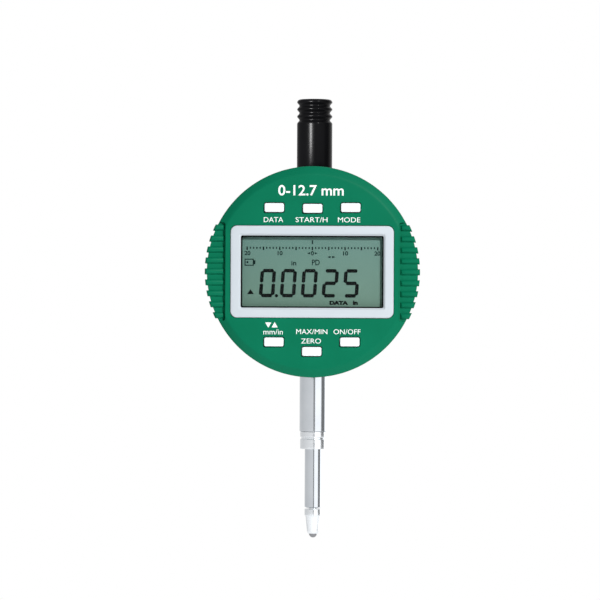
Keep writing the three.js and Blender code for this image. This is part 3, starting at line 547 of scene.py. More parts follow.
# Black border ink: a real printed border whose dark edge also serves as painted shade inside the window.
border_ink_and_painted_shade = surfaced(  # dense and matt, so the edge of the window looks deep
    "Black print and painted shade", ("050606", "090B0A"), gloss=(0.55, 0.7), drift=2, grain=0.15, depth=0.002,
    Specular_IOR_Level=0.05)
legend_paint = surfaced(  # opaque white ink with a slightly rough, screen-printed face
    "White ink, screen printed", ("F3F6F5", "FBFCFC"), gloss=(0.5, 0.62), drift=2, grain=0.15, depth=0.004)
print("display materials: 7")

# %% [markdown]
# ## Electronics
#
# Circuit boards are glass cloth under green solder mask, with copper tracks showing through
# as a lighter green and tinned pads on top. The flexible cable is amber film over straight
# copper tracks. The measuring scale is a glass strip with a row of plated fingers.

# %% Boards, flexible cable and scale
def tracked(name, ground, track, pitch, share, gloss, bands="Z", profile="SIN", distortion=0.0):
    """A sheet with straight or wandering tracks, `pitch` mm apart, over its ground colour."""
    material, tree, shader, place = new_material(name)
    wave = add(tree, "ShaderNodeTexWave", {
        "Vector": place, "Scale": scale_for(pitch * math.pi), "Distortion": distortion, "Detail": 1.0},
        bands_direction=bands, wave_profile=profile)
    cloth = add(tree, "ShaderNodeTexNoise", {"Vector": place, "Scale": scale_for(0.4), "Detail": 3.0})
    edge = add(tree, "ShaderNodeMapRange", {
        "Value": wave.outputs["Fac"], "From Min": share, "From Max": share + 0.12,
        "To Min": 0.0, "To Max": 1.0})
    colour = add(tree, "ShaderNodeMix", {0: edge.outputs["Result"], 6: linear(ground), 7: linear(track)},
                 data_type="RGBA")
    rough = add(tree, "ShaderNodeMapRange", {
        "Value": cloth.outputs["Fac"], "From Min": 0.3, "From Max": 0.7,
        "To Min": gloss[0], "To Max": gloss[1]})
    bump = add(tree, "ShaderNodeBump", {"Height": edge.outputs["Result"], "Distance": 0.03 * MM})
    tree.links.new(colour.outputs[2], shader.inputs["Base Color"])
    tree.links.new(rough.outputs["Result"], shader.inputs["Roughness"])
    tree.links.new(bump.outputs["Normal"], shader.inputs["Normal"])
    return material


circuit_board = tracked(
    "Glass-epoxy board, green solder mask", "174A2B", "2C7544", pitch=1.3, share=0.62, gloss=(0.25, 0.45),
    bands="DIAGONAL", distortion=4.0)
flexible_film = tracked(
    "Polyimide film over copper tracks", "A5621C", "D59A4E", pitch=0.5, share=0.5, gloss=(0.2, 0.35),
    bands="X")
scale_strip = tracked(
    "Glass scale with plated fingers", "1F3B36", "C9B27A", pitch=0.8, share=0.5, gloss=(0.1, 0.2), bands="Z")
print("electronic materials: 3")

# %% [markdown]
# ## Parts that keep their mechanical shape
#
# Everything behind the display is already right in the mechanical model, so these nodes keep
# their meshes and only get their real surfaces.

# %% Surfaces of the inner parts
INNER_FINISHES = (
    (dark_plastic, ("lcd_frame", "processor_chip", "battery_holder")),
    (silicone, ("contact_strip_upper", "contact_strip_lower", "keypad_upper", "keypad_lower", "battery_seal",
                "stop_washer")),
    (circuit_board, ("main_board", "sensor_board")),
    (flexible_film, ("flex_cable",)),
    (scale_strip, ("scale_strip",)),
    (bronze, ("lower_guide_bush", "upper_guide_bush", "guide_rail")),
    (cast_aluminium, ("chassis", "spindle_carrier")),
    (nickel, ("battery_cell", "battery_spring", "battery_clip", "spring_post", "return_spring",
              "carrier_screw", "guide_pin", *(f"board_screw_{n}" for n in range(1, 5)),
              *(f"chassis_screw_{n}" for n in range(1, 5)))),
)
for material, names in INNER_FINISHES:
    for name in names:
        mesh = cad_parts[name].data
        mesh.materials.clear()
        mesh.materials.append(material)
print("inner parts:", sum(len(names) for _, names in INNER_FINISHES))

# %% [markdown]
# ## The front of the case
#
# The front is a moulded cup: a flat face, a sloping shoulder and a short side wall. Turning
# it gives one clean surface. Both flanks are then cut back to a flat step, and nine rounded
# ribs, sliced from a slightly larger bevelled disc, stand on each step as a finger grip.

# %% Front case: the turned cup
FACE_RADIUS = 27.6
SHOULDER_Y = FACE_Y + 1.4
CAVITY_RADIUS = CASE_RADIUS - 2.35
CAVITY_Y = FACE_Y + 3.8
SEAM = 0.25
front_back = PARTING_Y - 0.1
front_case = turned("front_case", eased([
    (CAVITY_RADIUS, CAVITY_Y),
    (CAVITY_RADIUS, front_back),
    (CASE_RADIUS - SEAM, front_back),
    (CASE_RADIUS, front_back - SEAM),
    (CASE_RADIUS, SHOULDER_Y),
    (FACE_RADIUS, FACE_Y),
    (FACE_RADIUS - 4, FACE_Y),
], 0.45), sides=192, along="Y")
pocket = combine(
    turned("pocket", [(26.8, FACE_Y + 2), (26.8, CAVITY_Y + 0.2)], along="Y"),
    block("pocket_sides", (-23.1, FACE_Y, -30), (23.1, 0, 30)),
    "INTERSECT",
)
combine(front_case, pocket)
print("side wall", round(front_back - SHOULDER_Y, 2), "mm deep")

# %% Front case: steps and ribs of the grips
STEP_X = 24.5
STEP_Y = FACE_Y + 1.6
STEP_HALF_HEIGHT = 14
RIB_COUNT = 9
RIB_PITCH = 3.11
RIB_HEIGHT = 1.7
RIB_SET_BACK = 0.45
RIB_Y = FACE_Y + 0.9
RIB_RADIUS = cad("front_shell")[1].x
OUTSIDE = RIB_RADIUS + 2
for side in (-1, 1):
    inner, outer = sorted((side * STEP_X, side * OUTSIDE))
    combine(front_case, block(
        "step", (inner, FACE_Y - 1, -STEP_HALF_HEIGHT), (outer, STEP_Y, STEP_HALF_HEIGHT),
        corner=0.8, back_rim=0.25))

bar = block(
    "bar", (STEP_X + RIB_SET_BACK, RIB_Y, -RIB_HEIGHT / 2),
    (OUTSIDE, front_back - 0.2, RIB_HEIGHT / 2), rim=0.7)
heights = [RIB_PITCH * (number - (RIB_COUNT - 1) / 2) for number in range(RIB_COUNT)]
bars = [copied(bar, (shift, 0, height)) for height in heights
        for shift in (0, -STEP_X - RIB_SET_BACK - OUTSIDE)]
bpy.data.objects.remove(bar, do_unlink=True)
ribs = turned("ribs", eased([
    (RIB_RADIUS - 1.5, RIB_Y - 0.2),
    (RIB_RADIUS - 0.7, RIB_Y - 0.2),
    (RIB_RADIUS, RIB_Y + 0.5),
    (RIB_RADIUS, front_back - 0.6),
    (RIB_RADIUS - 0.3, front_back - 0.3),
], 0.25), sides=192, along="Y")
combine(ribs, joined(bars, "bars"), "INTERSECT")
combine(ribs, turned("hollow", [(CAVITY_RADIUS, CAVITY_Y), (CAVITY_RADIUS, 0)], sides=192, along="Y"))
combine(front_case, ribs, "UNION")
print("ribs on each flank:", RIB_COUNT)

# %% [markdown]
# Openings come next: a rebate that the window frame sits in, the window itself, and one hole
# for each key. Each hole is cut by a block whose front is flared a little, which leaves the
# small funnel that a moulded hole has. Posts for the board screws and lugs for the case
# screws are added inside.

# %% Front case: window, key holes and screw posts
KEY_NODES = ("button_data", "button_hold", "button_mode", "button_units", "button_zero", "button_power")
KEY_SIZE = Vector((5.46, 0, 2.5))
KEY_GAP = 0.22
frame_low, frame_high = cad("window_frame")
lens_low, lens_high = cad("window_lens")


def key_centre(node):
    low, high = cad(node)
    return (low + high) / 2


combine(front_case, block(
    "rebate", (frame_low.x - 0.15, FACE_Y - 1, frame_low.z - 0.15),
    (frame_high.x + 0.15, FACE_Y + 1, frame_high.z + 0.15), corner=1.9))
combine(front_case, block(
    "window", (lens_low.x - 1.05, FACE_Y - 1, lens_low.z - 1.05),
    (lens_high.x + 1.05, FACE_Y + 3, lens_high.z + 1.05), corner=1.1))


def upright_block(name, front, back, half, **edges):
    """A block centred on the dial's axis, from a front to a back distance."""
    return block(name, Vector((0, front, 0)) - half, Vector((0, back, 0)) + half, **edges)


hole_half = KEY_SIZE / 2 + Vector((KEY_GAP, 0, KEY_GAP))
FUNNEL = 0.12
hole = upright_block("hole", FACE_Y - 0.6, FACE_Y + 3, hole_half, corner=0.6)
funnel = upright_block("funnel", FACE_Y - FUNNEL, FACE_Y + FUNNEL, hole_half, corner=0.6, flare=2 * FUNNEL)
combine(hole, funnel, "UNION")
holes = [copied(hole, (key_centre(node).x, 0, key_centre(node).z)) for node in KEY_NODES]
bpy.data.objects.remove(hole, do_unlink=True)
combine(front_case, joined(holes, "key_holes"))


def at_each(node_stem):
    """The middle of each of the four screws of one kind, in mm."""
    for number in range(1, 5):
        low, high = cad(f"{node_stem}_{number}")
        yield (low + high) / 2


def repeated(piece, tool, places, operation="DIFFERENCE"):
    """Joins or cuts a piece with one copy of a tool at each (x, y, z) place, then drops the tool."""
    for place in places:
        combine(piece, copied(tool, (place.x, 0, place.z)), operation)
    bpy.data.objects.remove(tool, do_unlink=True)


board_front = cad("main_board")[0].y
POST_BORE = 0.7
POST_RADIUS = 1.5
post = turned("post", [(POST_BORE, board_front - 2.9), (POST_BORE, board_front - 0.1),
                       (POST_RADIUS, board_front - 0.1), (POST_RADIUS, FACE_Y + 1.8)], sides=32, along="Y")
repeated(front_case, post, at_each("board_screw"), "UNION")
finished(front_case, "housing", green_abs, ["front_shell"], smooth=35)

# %% [markdown]
# ## The rear of the case and its back plate
#
# The rear is a turned ring with a ledge for the back plate. It is bored above for the guide
# tube and its cap, below for the stem, and on the right for the data socket. The back plate
# is a casting with a lug, by which the indicator is bolted to a stand.

# %% Rear case
plate_low, plate_high = cad("back_plate")
PLATE_FRONT = plate_low.y
PLATE_RADIUS = plate_high.x
LEDGE_RADIUS = 22.8
LEDGE_Y = PLATE_FRONT - 1.8
stem_low, stem_high = cad("stem")
tube_low, tube_high = cad("upper_guide_tube")
cap_low, cap_high = cad("lifting_cap")
port_low, port_high = cad("port_cover")
battery_low, battery_high = cad("battery_cover")
rear_case = turned("rear_case", eased([
    (CAVITY_RADIUS, (PARTING_Y + LEDGE_Y) / 2),
    (CAVITY_RADIUS, PARTING_Y),
    (CASE_RADIUS - SEAM, PARTING_Y),
    (CASE_RADIUS, PARTING_Y + SEAM),
    (CASE_RADIUS, BACK_Y - 1),
    (CASE_RADIUS - 1, BACK_Y),
    (PLATE_RADIUS + 0.25, BACK_Y),
    (PLATE_RADIUS + 0.25, PLATE_FRONT - 0.1),
    (LEDGE_RADIUS, PLATE_FRONT - 0.1),
    (LEDGE_RADIUS, LEDGE_Y),
    (CAVITY_RADIUS, LEDGE_Y),
], 0.2), sides=192, through=True, along="Y")
SCREW_BORE = 1.1
LUG_POST_RADIUS = 2.5
LUG_POST_INSET = 0.985
lug_post = turned("screw_post", [
    (SCREW_BORE, PARTING_Y + 0.1), (LUG_POST_RADIUS, PARTING_Y + 0.1), (LUG_POST_RADIUS, LEDGE_Y + 0.2),
    (SCREW_BORE, LEDGE_Y + 0.2)], sides=32, through=True, along="Y")
repeated(rear_case, lug_post, [place * LUG_POST_INSET for place in at_each("back_screw")], "UNION")
screw_bore = turned("bore", [(SCREW_BORE, PARTING_Y - 2), (SCREW_BORE, BACK_Y)], sides=24, along="Y")
repeated(rear_case, screw_bore, [*at_each("back_screw"), *at_each("chassis_screw")])
combine(rear_case, turned("stem_bore", [(stem_high.x + 0.1, -CASE_RADIUS - 1), (stem_high.x + 0.1, -22)]))
combine(rear_case, turned("tube_bore", [(tube_high.x + 0.1, 22), (tube_high.x + 0.1, CASE_RADIUS + 1)]))
seat_radius = cap_high.x + 0.4
combine(rear_case, turned("cap_seat", [(seat_radius, cap_low.z - 0.25), (seat_radius, CASE_RADIUS + 2)]))
combine(rear_case, block(
    "port_hole", (port_low.x - 0.8, port_low.y - 0.2, port_low.z - 0.2),
    (CASE_RADIUS + 1, port_high.y + 0.2, port_high.z + 0.2)))
holder_low, holder_high = cad("battery_holder")
holder_radius = (holder_high.z - holder_low.z) / 2
relief_radius = holder_radius + 0.2
relief = turned("relief", [(relief_radius, LEDGE_Y - 1), (relief_radius, BACK_Y - 1.9)], along="Y")
combine(rear_case, moved(relief, ((holder_low.x + holder_high.x) / 2, 0, 0)))
finished(rear_case, "housing", green_abs, ["rear_shell"], smooth=35)

# %% Back plate with its lug
LUG_HALF_WIDTH = 3.2
LUG_RADIUS = 5.8
LUG_HOLE = 3.25
LUG_HOLE_Y = plate_high.y - LUG_RADIUS
battery_x = (battery_low.x + battery_high.x) / 2
back_plate = turned("back_casting", eased([
    (PLATE_RADIUS - 4, PLATE_FRONT), (PLATE_RADIUS, PLATE_FRONT), (PLATE_RADIUS, BACK_Y),
    (PLATE_RADIUS - 4, BACK_Y)], 0.3), sides=192, along="Y")
foot = block("foot", (-LUG_HALF_WIDTH, BACK_Y - 0.3, -LUG_RADIUS), (LUG_HALF_WIDTH, LUG_HOLE_Y, LUG_RADIUS))
bpy.ops.object.mode_set(mode="EDIT")
pick_edges(foot, lambda a, b: max(a.y, b.y) < BACK_Y)
bpy.ops.transform.resize(value=(1, 1, 8 / LUG_RADIUS), center_override=(0, 0, 0))
bpy.ops.mesh.select_all(action="SELECT")
bpy.ops.mesh.subdivide(number_cuts=1)
bpy.ops.object.mode_set(mode="OBJECT")
eye = turned("eye", eased([
    (LUG_RADIUS - 2, -LUG_HALF_WIDTH), (LUG_RADIUS, -LUG_HALF_WIDTH), (LUG_RADIUS, LUG_HALF_WIDTH),
    (LUG_RADIUS - 2, LUG_HALF_WIDTH)], 0.02), sides=96, along="X")
combine(foot, moved(eye, (0, LUG_HOLE_Y, 0)), "UNION")
combine(back_plate, foot, "UNION")
drill = turned("drill", [
    (LUG_HOLE + 1, -LUG_HALF_WIDTH - 0.6), (LUG_HOLE, -LUG_HALF_WIDTH + 0.4),
    (LUG_HOLE, LUG_HALF_WIDTH - 0.4), (LUG_HOLE + 1, LUG_HALF_WIDTH + 0.6)], sides=64, along="X")
combine(back_plate, moved(drill, (0, LUG_HOLE_Y, 0)))
cover_seat = turned("cover_seat", [
    (6.6, PLATE_FRONT - 1), (6.6, BACK_Y - 1.45), (7.6, BACK_Y - 1.45), (7.6, BACK_Y - 0.1),
    (7.9, BACK_Y + 0.2)], along="Y")
combine(back_plate, moved(cover_seat, (battery_x, 0, 0)))
SINK_RADIUS = 1.9
countersink = turned("countersink", [
    (SCREW_BORE, PLATE_FRONT - 1), (SCREW_BORE, BACK_Y - 1.2), (SINK_RADIUS, BACK_Y - 0.2),
    (SINK_RADIUS, BACK_Y + 1)], sides=32, along="Y")
repeated(back_plate, countersink, at_each("back_screw"))
finished(back_plate, "housing", cast_aluminium, ["back_plate"], smooth=25)

# %% [markdown]
# ## Screws on the back
#
# Four countersunk screws hold the case together. One is turned with a tapering shank and
# given a cross recess by two crossed tapering blades, and then it is copied.

# %% Countersunk screws
screw_low, screw_high = cad("back_screw_1")
HEAD_Y = screw_high.y
HEAD_RADIUS = (screw_high.x - screw_low.x) / 2
threads = []
thread_y = screw_low.y + 0.8
while thread_y < HEAD_Y - 5:
    threads += [(0.8, thread_y), (1.0, thread_y + 0.2)]
    thread_y += 0.45
screw = turned("case_screw", [(0.35, screw_low.y), (0.8, screw_low.y + 0.5), *threads, (0.85, HEAD_Y - 4.6),
                              (0.85, HEAD_Y - 1.05), (HEAD_RADIUS - 0.05, HEAD_Y - 0.12),
                              (HEAD_RADIUS - 0.05, HEAD_Y - 0.04), (HEAD_RADIUS - 0.15, HEAD_Y)],
               sides=32, along="Y")
for size in ((1.15, 0.24), (0.24, 1.15)):
    blade = block("blade", (-size[0], HEAD_Y - 0.7, -size[1]), (size[0], HEAD_Y + 0.3, size[1]))
    bpy.ops.object.mode_set(mode="EDIT")
    pick_edges(blade, lambda a, b: max(a.y, b.y) < HEAD_Y)
    bpy.ops.transform.resize(value=(0.6, 1, 0.6), center_override=(0, (HEAD_Y - 0.7) * MM, 0))
    bpy.ops.object.mode_set(mode="OBJECT")
    combine(screw, blade)
for number, place in enumerate(at_each("back_screw"), 1):
    piece = copied(screw, (place.x, 0, place.z))
    piece.name = f"case_screw_{number}"
    finished(piece, "housing", nickel, [f"back_screw_{number}"])
bpy.data.objects.remove(screw, do_unlink=True)

# %% [markdown]
# ## Battery cover
#
# A round cover closes the battery hole and turns by a coin. It is a stepped disc with a slot
# across it, rounded at both ends.

# %% Battery cover
COVER_RADIUS = (battery_high.z - battery_low.z) / 2
COVER_Y = battery_high.y
cover = turned("coin_cover", eased([
    (3, battery_low.y), (5.7, battery_low.y), (5.7, COVER_Y - 0.9), (COVER_RADIUS, COVER_Y - 0.9),
    (COVER_RADIUS, COVER_Y), (COVER_RADIUS - 1.4, COVER_Y), (COVER_RADIUS - 1.6, COVER_Y - 0.2),
    (3, COVER_Y - 0.2)], 0.15), along="Y")
combine(cover, block("coin_slot", (-0.65, COVER_Y - 0.75, -5), (0.65, COVER_Y + 1, 5), corner=0.62))
finished(moved(cover, (battery_x, 0, 0)), "battery_door", dark_plastic, ["battery_cover"])

# %% [markdown]
# ## Data socket and its plug
#
# A small socket in the right flank takes the data cable. Inside its shroud four gilt springs
# stand in a row. A push-in cover keeps dust out: its outer face is cut from the same round
# as the case, so that it closes flush, and a nail notch helps to pull it out.

# %% Data socket
socket_low, socket_high = cad("data_socket")
flange_x = socket_high.x - 0.7
socket = block(
    "socket_body", (socket_low.x, socket_low.y, socket_low.z), (flange_x, socket_high.y, socket_high.z),
    corner=0.3, rim=0.3, back_rim=0.3)
shroud = block("shroud", (flange_x - 0.2, -2.55, -5.35), (socket_high.x, 2.55, 5.35))
combine(socket, shroud, "UNION")
combine(socket, block("recess", (socket_high.x - 1.8, -1.6, -4.6), (socket_high.x + 1, 1.6, 4.6)))
finished(socket, "housing", dark_plastic, ["data_socket"])
CONTACTS = 4
spring_finger = block(
    "finger", (socket_high.x - 1.9, -0.15, -0.35), (socket_high.x - 0.3, 0.15, 0.35), rim=0.08)
fingers = [copied(spring_finger, (0, 0, 2.1 * (number - (CONTACTS - 1) / 2))) for number in range(CONTACTS)]
bpy.data.objects.remove(spring_finger, do_unlink=True)
finished(joined(fingers, "socket_contacts"), "housing", gold)

# %% Push-in cover
plug = block("dust_plug", (port_low.x, port_low.y, port_low.z), (CASE_RADIUS + 1, port_high.y, port_high.z))
combine(plug, turned("round", eased([
    (CASE_RADIUS - 1.5, port_low.y - 1), (CASE_RADIUS - 0.02, port_low.y - 1),
    (CASE_RADIUS - 0.02, port_high.y + 1), (CASE_RADIUS - 1.5, port_high.y + 1)], 0.1),
    sides=192, along="Y"), "INTERSECT")
nail = turned("nail", [(1.1, -0.9), (1.1, 0.9)], sides=32)
nail.rotation_euler = (math.pi / 2, 0, 0)
settle(nail)
combine(plug, moved(nail, (CASE_RADIUS + 0.55, 0, port_high.z - 1.4)))
select_only(plug)
edge_ease = plug.modifiers.new("ease", "BEVEL")
edge_ease.width = 0.12 * MM
edge_ease.segments = 2
edge_ease.limit_method = "ANGLE"
edge_ease.angle_limit = math.radians(50)
bpy.ops.object.modifier_apply(modifier=edge_ease.name)
finished(plug, "port_plug", dark_plastic, ["port_cover"])

# %% [markdown]
# ## Window frame and window
#
# The pale frame is one moulding: a flat border with soft outer corners, whose inner edge
# slopes towards the display. Its collar reaches into the case, and the clear window is
# glued in from behind. A black border printed on the back of the window hides the glue, and
# its inner part shows as the dark line around the display; that line is also painted shade,
# standing in for the shadow inside the deep window.

# %% Window frame
SIGHT = Vector((40.4, 0, 20.4)) / 2
SIGHT_BEVEL = 0.5
window_frame = block(
    "window_border", frame_low, (frame_high.x, FACE_Y + 0.9, frame_high.z), corner=1.8, rim=0.3)
collar = block(
    "collar", (lens_low.x - 0.85, FACE_Y + 0.7, lens_low.z - 0.85),
    (lens_high.x + 0.85, frame_high.y, lens_high.z + 0.85), corner=0.9)
combine(window_frame, collar, "UNION")
combine(window_frame, upright_block("sight", frame_low.y - 1, frame_high.y + 1, SIGHT, corner=0.5))
combine(window_frame, upright_block(
    "slope", frame_low.y - SIGHT_BEVEL, frame_low.y + SIGHT_BEVEL, SIGHT, corner=0.5, flare=2 * SIGHT_BEVEL))
combine(window_frame, block(
    "lens_seat", (lens_low.x - 0.2, lens_low.y - 0.1, lens_low.z - 0.2),
    (lens_high.x + 0.2, frame_high.y + 1, lens_high.z + 0.2), corner=0.6))
finished(window_frame, "housing", bezel_abs, ["window_frame"])

window = block("clear_window", lens_low, lens_high, corner=0.5, rim=0.08, back_rim=0.08)
finished(window, "housing", acrylic, ["window_lens"])

# %% Printed border behind the window, with painted shade at its inner edge
# The inner edge of this border is partly print and partly painted shade for the shadow in the window's
# recess.
BORDER = Vector((0.4, 0, 0.4))
print_y = lens_high.y + 0.02
border = block(
    "window_print_and_shade", (lens_low.x + 0.1, print_y, lens_low.z + 0.1),
    (lens_high.x - 0.1, print_y + 0.04, lens_high.z - 0.1), corner=0.5)
combine(border, upright_block("clear_part", print_y - 1, print_y + 1, SIGHT - BORDER, corner=0.3))
finished(border, "housing", border_ink_and_painted_shade)
print("border of print and painted shade", BORDER.x, "mm wide inside the frame")

# %% [markdown]
# ## The display and its characters
#
# The display is two sheets of glass, the front one shorter, with the polariser laid on top.
# The characters are modelled as thin shapes that lie on the polariser. Each numeral is made
# of the same pointed bars: a bar starts as a filled hexagon, its two halves are pulled apart
# to the bar's length, and it is given a little thickness.

# %% Display glass and polariser
glass_low, glass_high = cad("lcd_panel")
FILM_Y = glass_low.y
display_glass = joined([
    block("rear_glass", (glass_low.x, FILM_Y + 1, glass_low.z), glass_high, rim=0.05),
    block("front_glass", (glass_low.x, FILM_Y + 0.25, glass_low.z + 0.9),
          (glass_high.x, FILM_Y + 0.98, glass_high.z), rim=0.05),
], "display_glass")
finished(display_glass, "housing", lcd_glass, ["lcd_panel"])
film = block("polariser", (glass_low.x + 0.3, FILM_Y + 0.05, glass_low.z + 1.1),
             (glass_high.x - 0.3, FILM_Y + 0.24, glass_high.z - 0.2), corner=0.2, rim=0.04)
finished(film, "housing", lcd_film)

# %% Thin shapes for the characters
INK_DEPTH = 0.03


def thicken(piece):
    """Gives a flat shape that faces the reader its small thickness, and sets it on the film."""
    bpy.ops.object.mode_set(mode="EDIT")
    bpy.ops.mesh.select_all(action="SELECT")
    bpy.ops.mesh.extrude_region_move(TRANSFORM_OT_translate={"value": (0, -INK_DEPTH * MM, 0)})
    bpy.ops.mesh.select_all(action="SELECT")
    bpy.ops.mesh.normals_make_consistent(inside=False)
    bpy.ops.object.mode_set(mode="OBJECT")
    return moved(piece, (0, FILM_Y + 0.05, 0))


def polygon(name, corners, radius, turn=0.0):
    """A filled polygon in the plane of the display, as wide as its radius says."""
    bpy.ops.object.select_all(action="DESELECT")
    bpy.ops.mesh.primitive_circle_add(
        vertices=corners, radius=radius * MM, fill_type="NGON", rotation=(math.pi / 2, 0, 0))
    piece = bpy.context.object
    piece.name = name
    settle(piece)
    piece.rotation_euler = (0, turn, 0)
    settle(piece)
    return piece


def pointed_bar(length, width, upright=False):
    """A bar with pointed ends, centred on the origin."""
    piece = polygon("bar", 6, width / math.sqrt(3), math.pi / 2)
    bpy.ops.object.mode_set(mode="EDIT")
    bpy.ops.mesh.select_mode(type="VERT")
    for side in (-1, 1):
        bpy.ops.mesh.select_all(action="DESELECT")
        mesh = bmesh.from_edit_mesh(piece.data)
        for vertex in mesh.verts:
            vertex.select_set(vertex.co.x * side > 0)
        bmesh.update_edit_mesh(piece.data)
        pull = length / 2 - width / math.sqrt(3)
        bpy.ops.transform.translate(value=(side * pull * MM, 0, 0))
    bpy.ops.object.mode_set(mode="OBJECT")
    thicken(piece)
    if upright:
        piece.rotation_euler = (0, math.pi / 2, 0)
        settle(piece)
    return piece


# %% The large numerals
DIGIT_WIDTH = 4.4
DIGIT_HEIGHT = 8.05
STROKE = 1.0
DIGIT_PITCH = 5.93
DIGIT_START = -15.15
DIGIT_BASE = -7.25
LEAN = math.radians(3.8)
READING = "00025"
LIT = {"0": "abcdef", "2": "abged", "5": "afgcd"}
reach_x = (DIGIT_WIDTH - STROKE) / 2
half_z = (DIGIT_HEIGHT - STROKE) / 2
level = pointed_bar(2 * reach_x - 0.2, STROKE)
upright = pointed_bar(half_z - 0.2, STROKE, upright=True)
SEGMENT_PLACES = {
    "a": (level, 0, 2 * half_z), "g": (level, 0, half_z), "d": (level, 0, 0),
    "f": (upright, -reach_x, 1.5 * half_z), "b": (upright, reach_x, 1.5 * half_z),
    "e": (upright, -reach_x, 0.5 * half_z), "c": (upright, reach_x, 0.5 * half_z),
}
segments = []
for number, digit in enumerate(READING):
    left = DIGIT_START + DIGIT_PITCH * number + DIGIT_WIDTH / 2
    for letter in LIT[digit]:
        bar, x, z = SEGMENT_PLACES[letter]
        rise = z + STROKE / 2
        segments.append(copied(bar, (left + x + math.tan(LEAN) * rise, 0, DIGIT_BASE + rise)))
        if bar is upright:
            slant = segments[-1].data
            for vertex in slant.vertices:
                vertex.co.x += math.tan(LEAN) * (vertex.co.z - (DIGIT_BASE + rise) * MM)
for bar in (level, upright):
    bpy.data.objects.remove(bar, do_unlink=True)
point = thicken(polygon("point", 8, 0.5))
segments.append(moved(point, (-10.15, 0, DIGIT_BASE + 0.45)))
numerals = joined(segments, "display_numerals")
finished(numerals, "housing", lcd_ink)
print("reading of", len(READING), "numerals")

# %% [markdown]
# Above the numerals runs a scale of short ticks. One tick is copied along by an Array
# modifier, which is then applied. Small signs are text objects, turned into meshes before
# they are put in their place.

# %% Ticks of the small scale
TICK_PITCH = 0.925
TICKS = 41


def tick_row(count, pitch, width, height, z):
    tick = thicken(moved(polygon("tick", 4, width / math.sqrt(2), math.pi / 4), (0, 0, 0)))
    tick.scale = (1, 1, height / width)
    settle(tick)
    row = tick.modifiers.new("row", "ARRAY")
    row.count = count
    row.use_relative_offset = False
    row.use_constant_offset = True
    row.constant_offset_displace = (pitch * MM, 0, 0)
    select_only(tick)
    bpy.ops.object.modifier_apply(modifier=row.name)
    return moved(tick, (-pitch * (count - 1) / 2, 0, z))


rows = [
    tick_row(TICKS, TICK_PITCH, 0.36, 0.55, 6.75),
    tick_row(9, TICK_PITCH * 5, 0.4, 0.95, 6.6),
    tick_row(1, 0, 0.4, 1.15, 8.4),
]
finished(joined(rows, "display_ticks"), "housing", lcd_faint)

# %% Lettering
def measured(piece):
    corners = [Vector(corner) / MM for corner in piece.bound_box]
    low = Vector(map(min, *corners))
    high = Vector(map(max, *corners))
    return low, high


def lettering(words, centre, height, width=None, weight=0.0, depth=INK_DEPTH, y=None):
    """Text `height` mm high and, if given, `width` mm wide, centred on (x, z) and made a mesh."""
    bpy.ops.object.select_all(action="DESELECT")
    bpy.ops.object.text_add(rotation=(math.pi / 2, 0, 0))
    text = bpy.context.object
    text.data.body = words
    text.data.size = height * 1.37 * MM
    text.data.offset = weight * MM
    text.data.extrude = depth / 2 * MM
    text.data.resolution_u = 4
    bpy.ops.object.convert(target="MESH")
    piece = bpy.context.object
    settle(piece)
    low, high = measured(piece)
    piece.scale = (width / (high.x - low.x) if width else 1, 1, height / (high.z - low.z))
    settle(piece)
    low, high = measured(piece)
    middle = (low + high) / 2
    front = FILM_Y + 0.035 if y is None else y
    moved(piece, (centre[0] - middle.x, front - middle.y, centre[1] - middle.z))
    return piece


# %% Small signs on the display
def arrow(centre, radius, turn, stretch=(1, 1, 1)):
    piece = thicken(polygon("arrow", 3, radius, turn))
    piece.scale = stretch
    settle(piece)
    return moved(piece, (centre[0], 0, centre[1]))


def outline(centre, width, height, line):
    """A rectangular outline drawn with four thin bars."""
    parts = []
    for x, z, wide, tall in (
            (0, 1, width, line), (0, -1, width, line), (1, 0, line, height), (-1, 0, line, height)):
        bar = thicken(polygon("bar", 4, 1 / math.sqrt(2), math.pi / 4))
        bar.scale = (wide, 1, tall)
        settle(bar)
        place_x = centre[0] + x * (width - line) / 2
        place_z = centre[1] + z * (height - line) / 2
        parts.append(moved(bar, (place_x, 0, place_z)))
    return joined(parts, "outline")


SCALE_Z = 5.25
SCALE_NUMBERS = (("20", -18.4), ("10", -9.15), ("10", 9.4), ("20", 18.4))
signs = [
    *(lettering(words, (x, SCALE_Z), 1.25, weight=0.05) for words, x in SCALE_NUMBERS),
    lettering("0", (0, SCALE_Z), 1.25, weight=0.05),
    arrow((-0.95, SCALE_Z), 0.45, -math.pi / 2, (1.2, 1, 0.8)),
    arrow((0.95, SCALE_Z), 0.45, math.pi / 2, (1.2, 1, 0.8)),
    arrow((4.85, 4.2), 0.5, -math.pi / 2, (1.3, 1, 0.8)),
    arrow((5.9, 4.2), 0.5, math.pi / 2, (1.3, 1, 0.8)),
    outline((-17.9, 2.65), 2.6, 2.0, 0.28),
    outline((-16.4, 2.65), 0.5, 1.1, 0.28),
    moved(thicken(polygon("dot", 10, 0.32)), (-18.4, 0, 2.65)),
    lettering("in", (-5.25, 2.45), 1.35, 1.4, weight=0.04),
    lettering("PD", (0.98, 2.65), 1.6, 2.2, weight=0.04),
]
finished(joined(signs, "display_signs"), "housing", lcd_faint)
dark_signs = [
    arrow((-17.5, -5.9), 1.1, 0, (1.0, 1, 0.85)),
    lettering("DATA", (7.55, -8.75), 1.15, 5.3, weight=0.12),
    lettering("in", (12.2, -8.7), 1.2, 1.4, weight=0.1),
]
finished(joined(dark_signs, "display_status"), "housing", lcd_ink)

# %% [markdown]
# ## Keys
#
# Each key is a small white block with soft corners and a rounded front edge. A flange
# behind it keeps it from falling out, and a round plunger presses the rubber mat. One key is
# modelled and then copied to the six places.

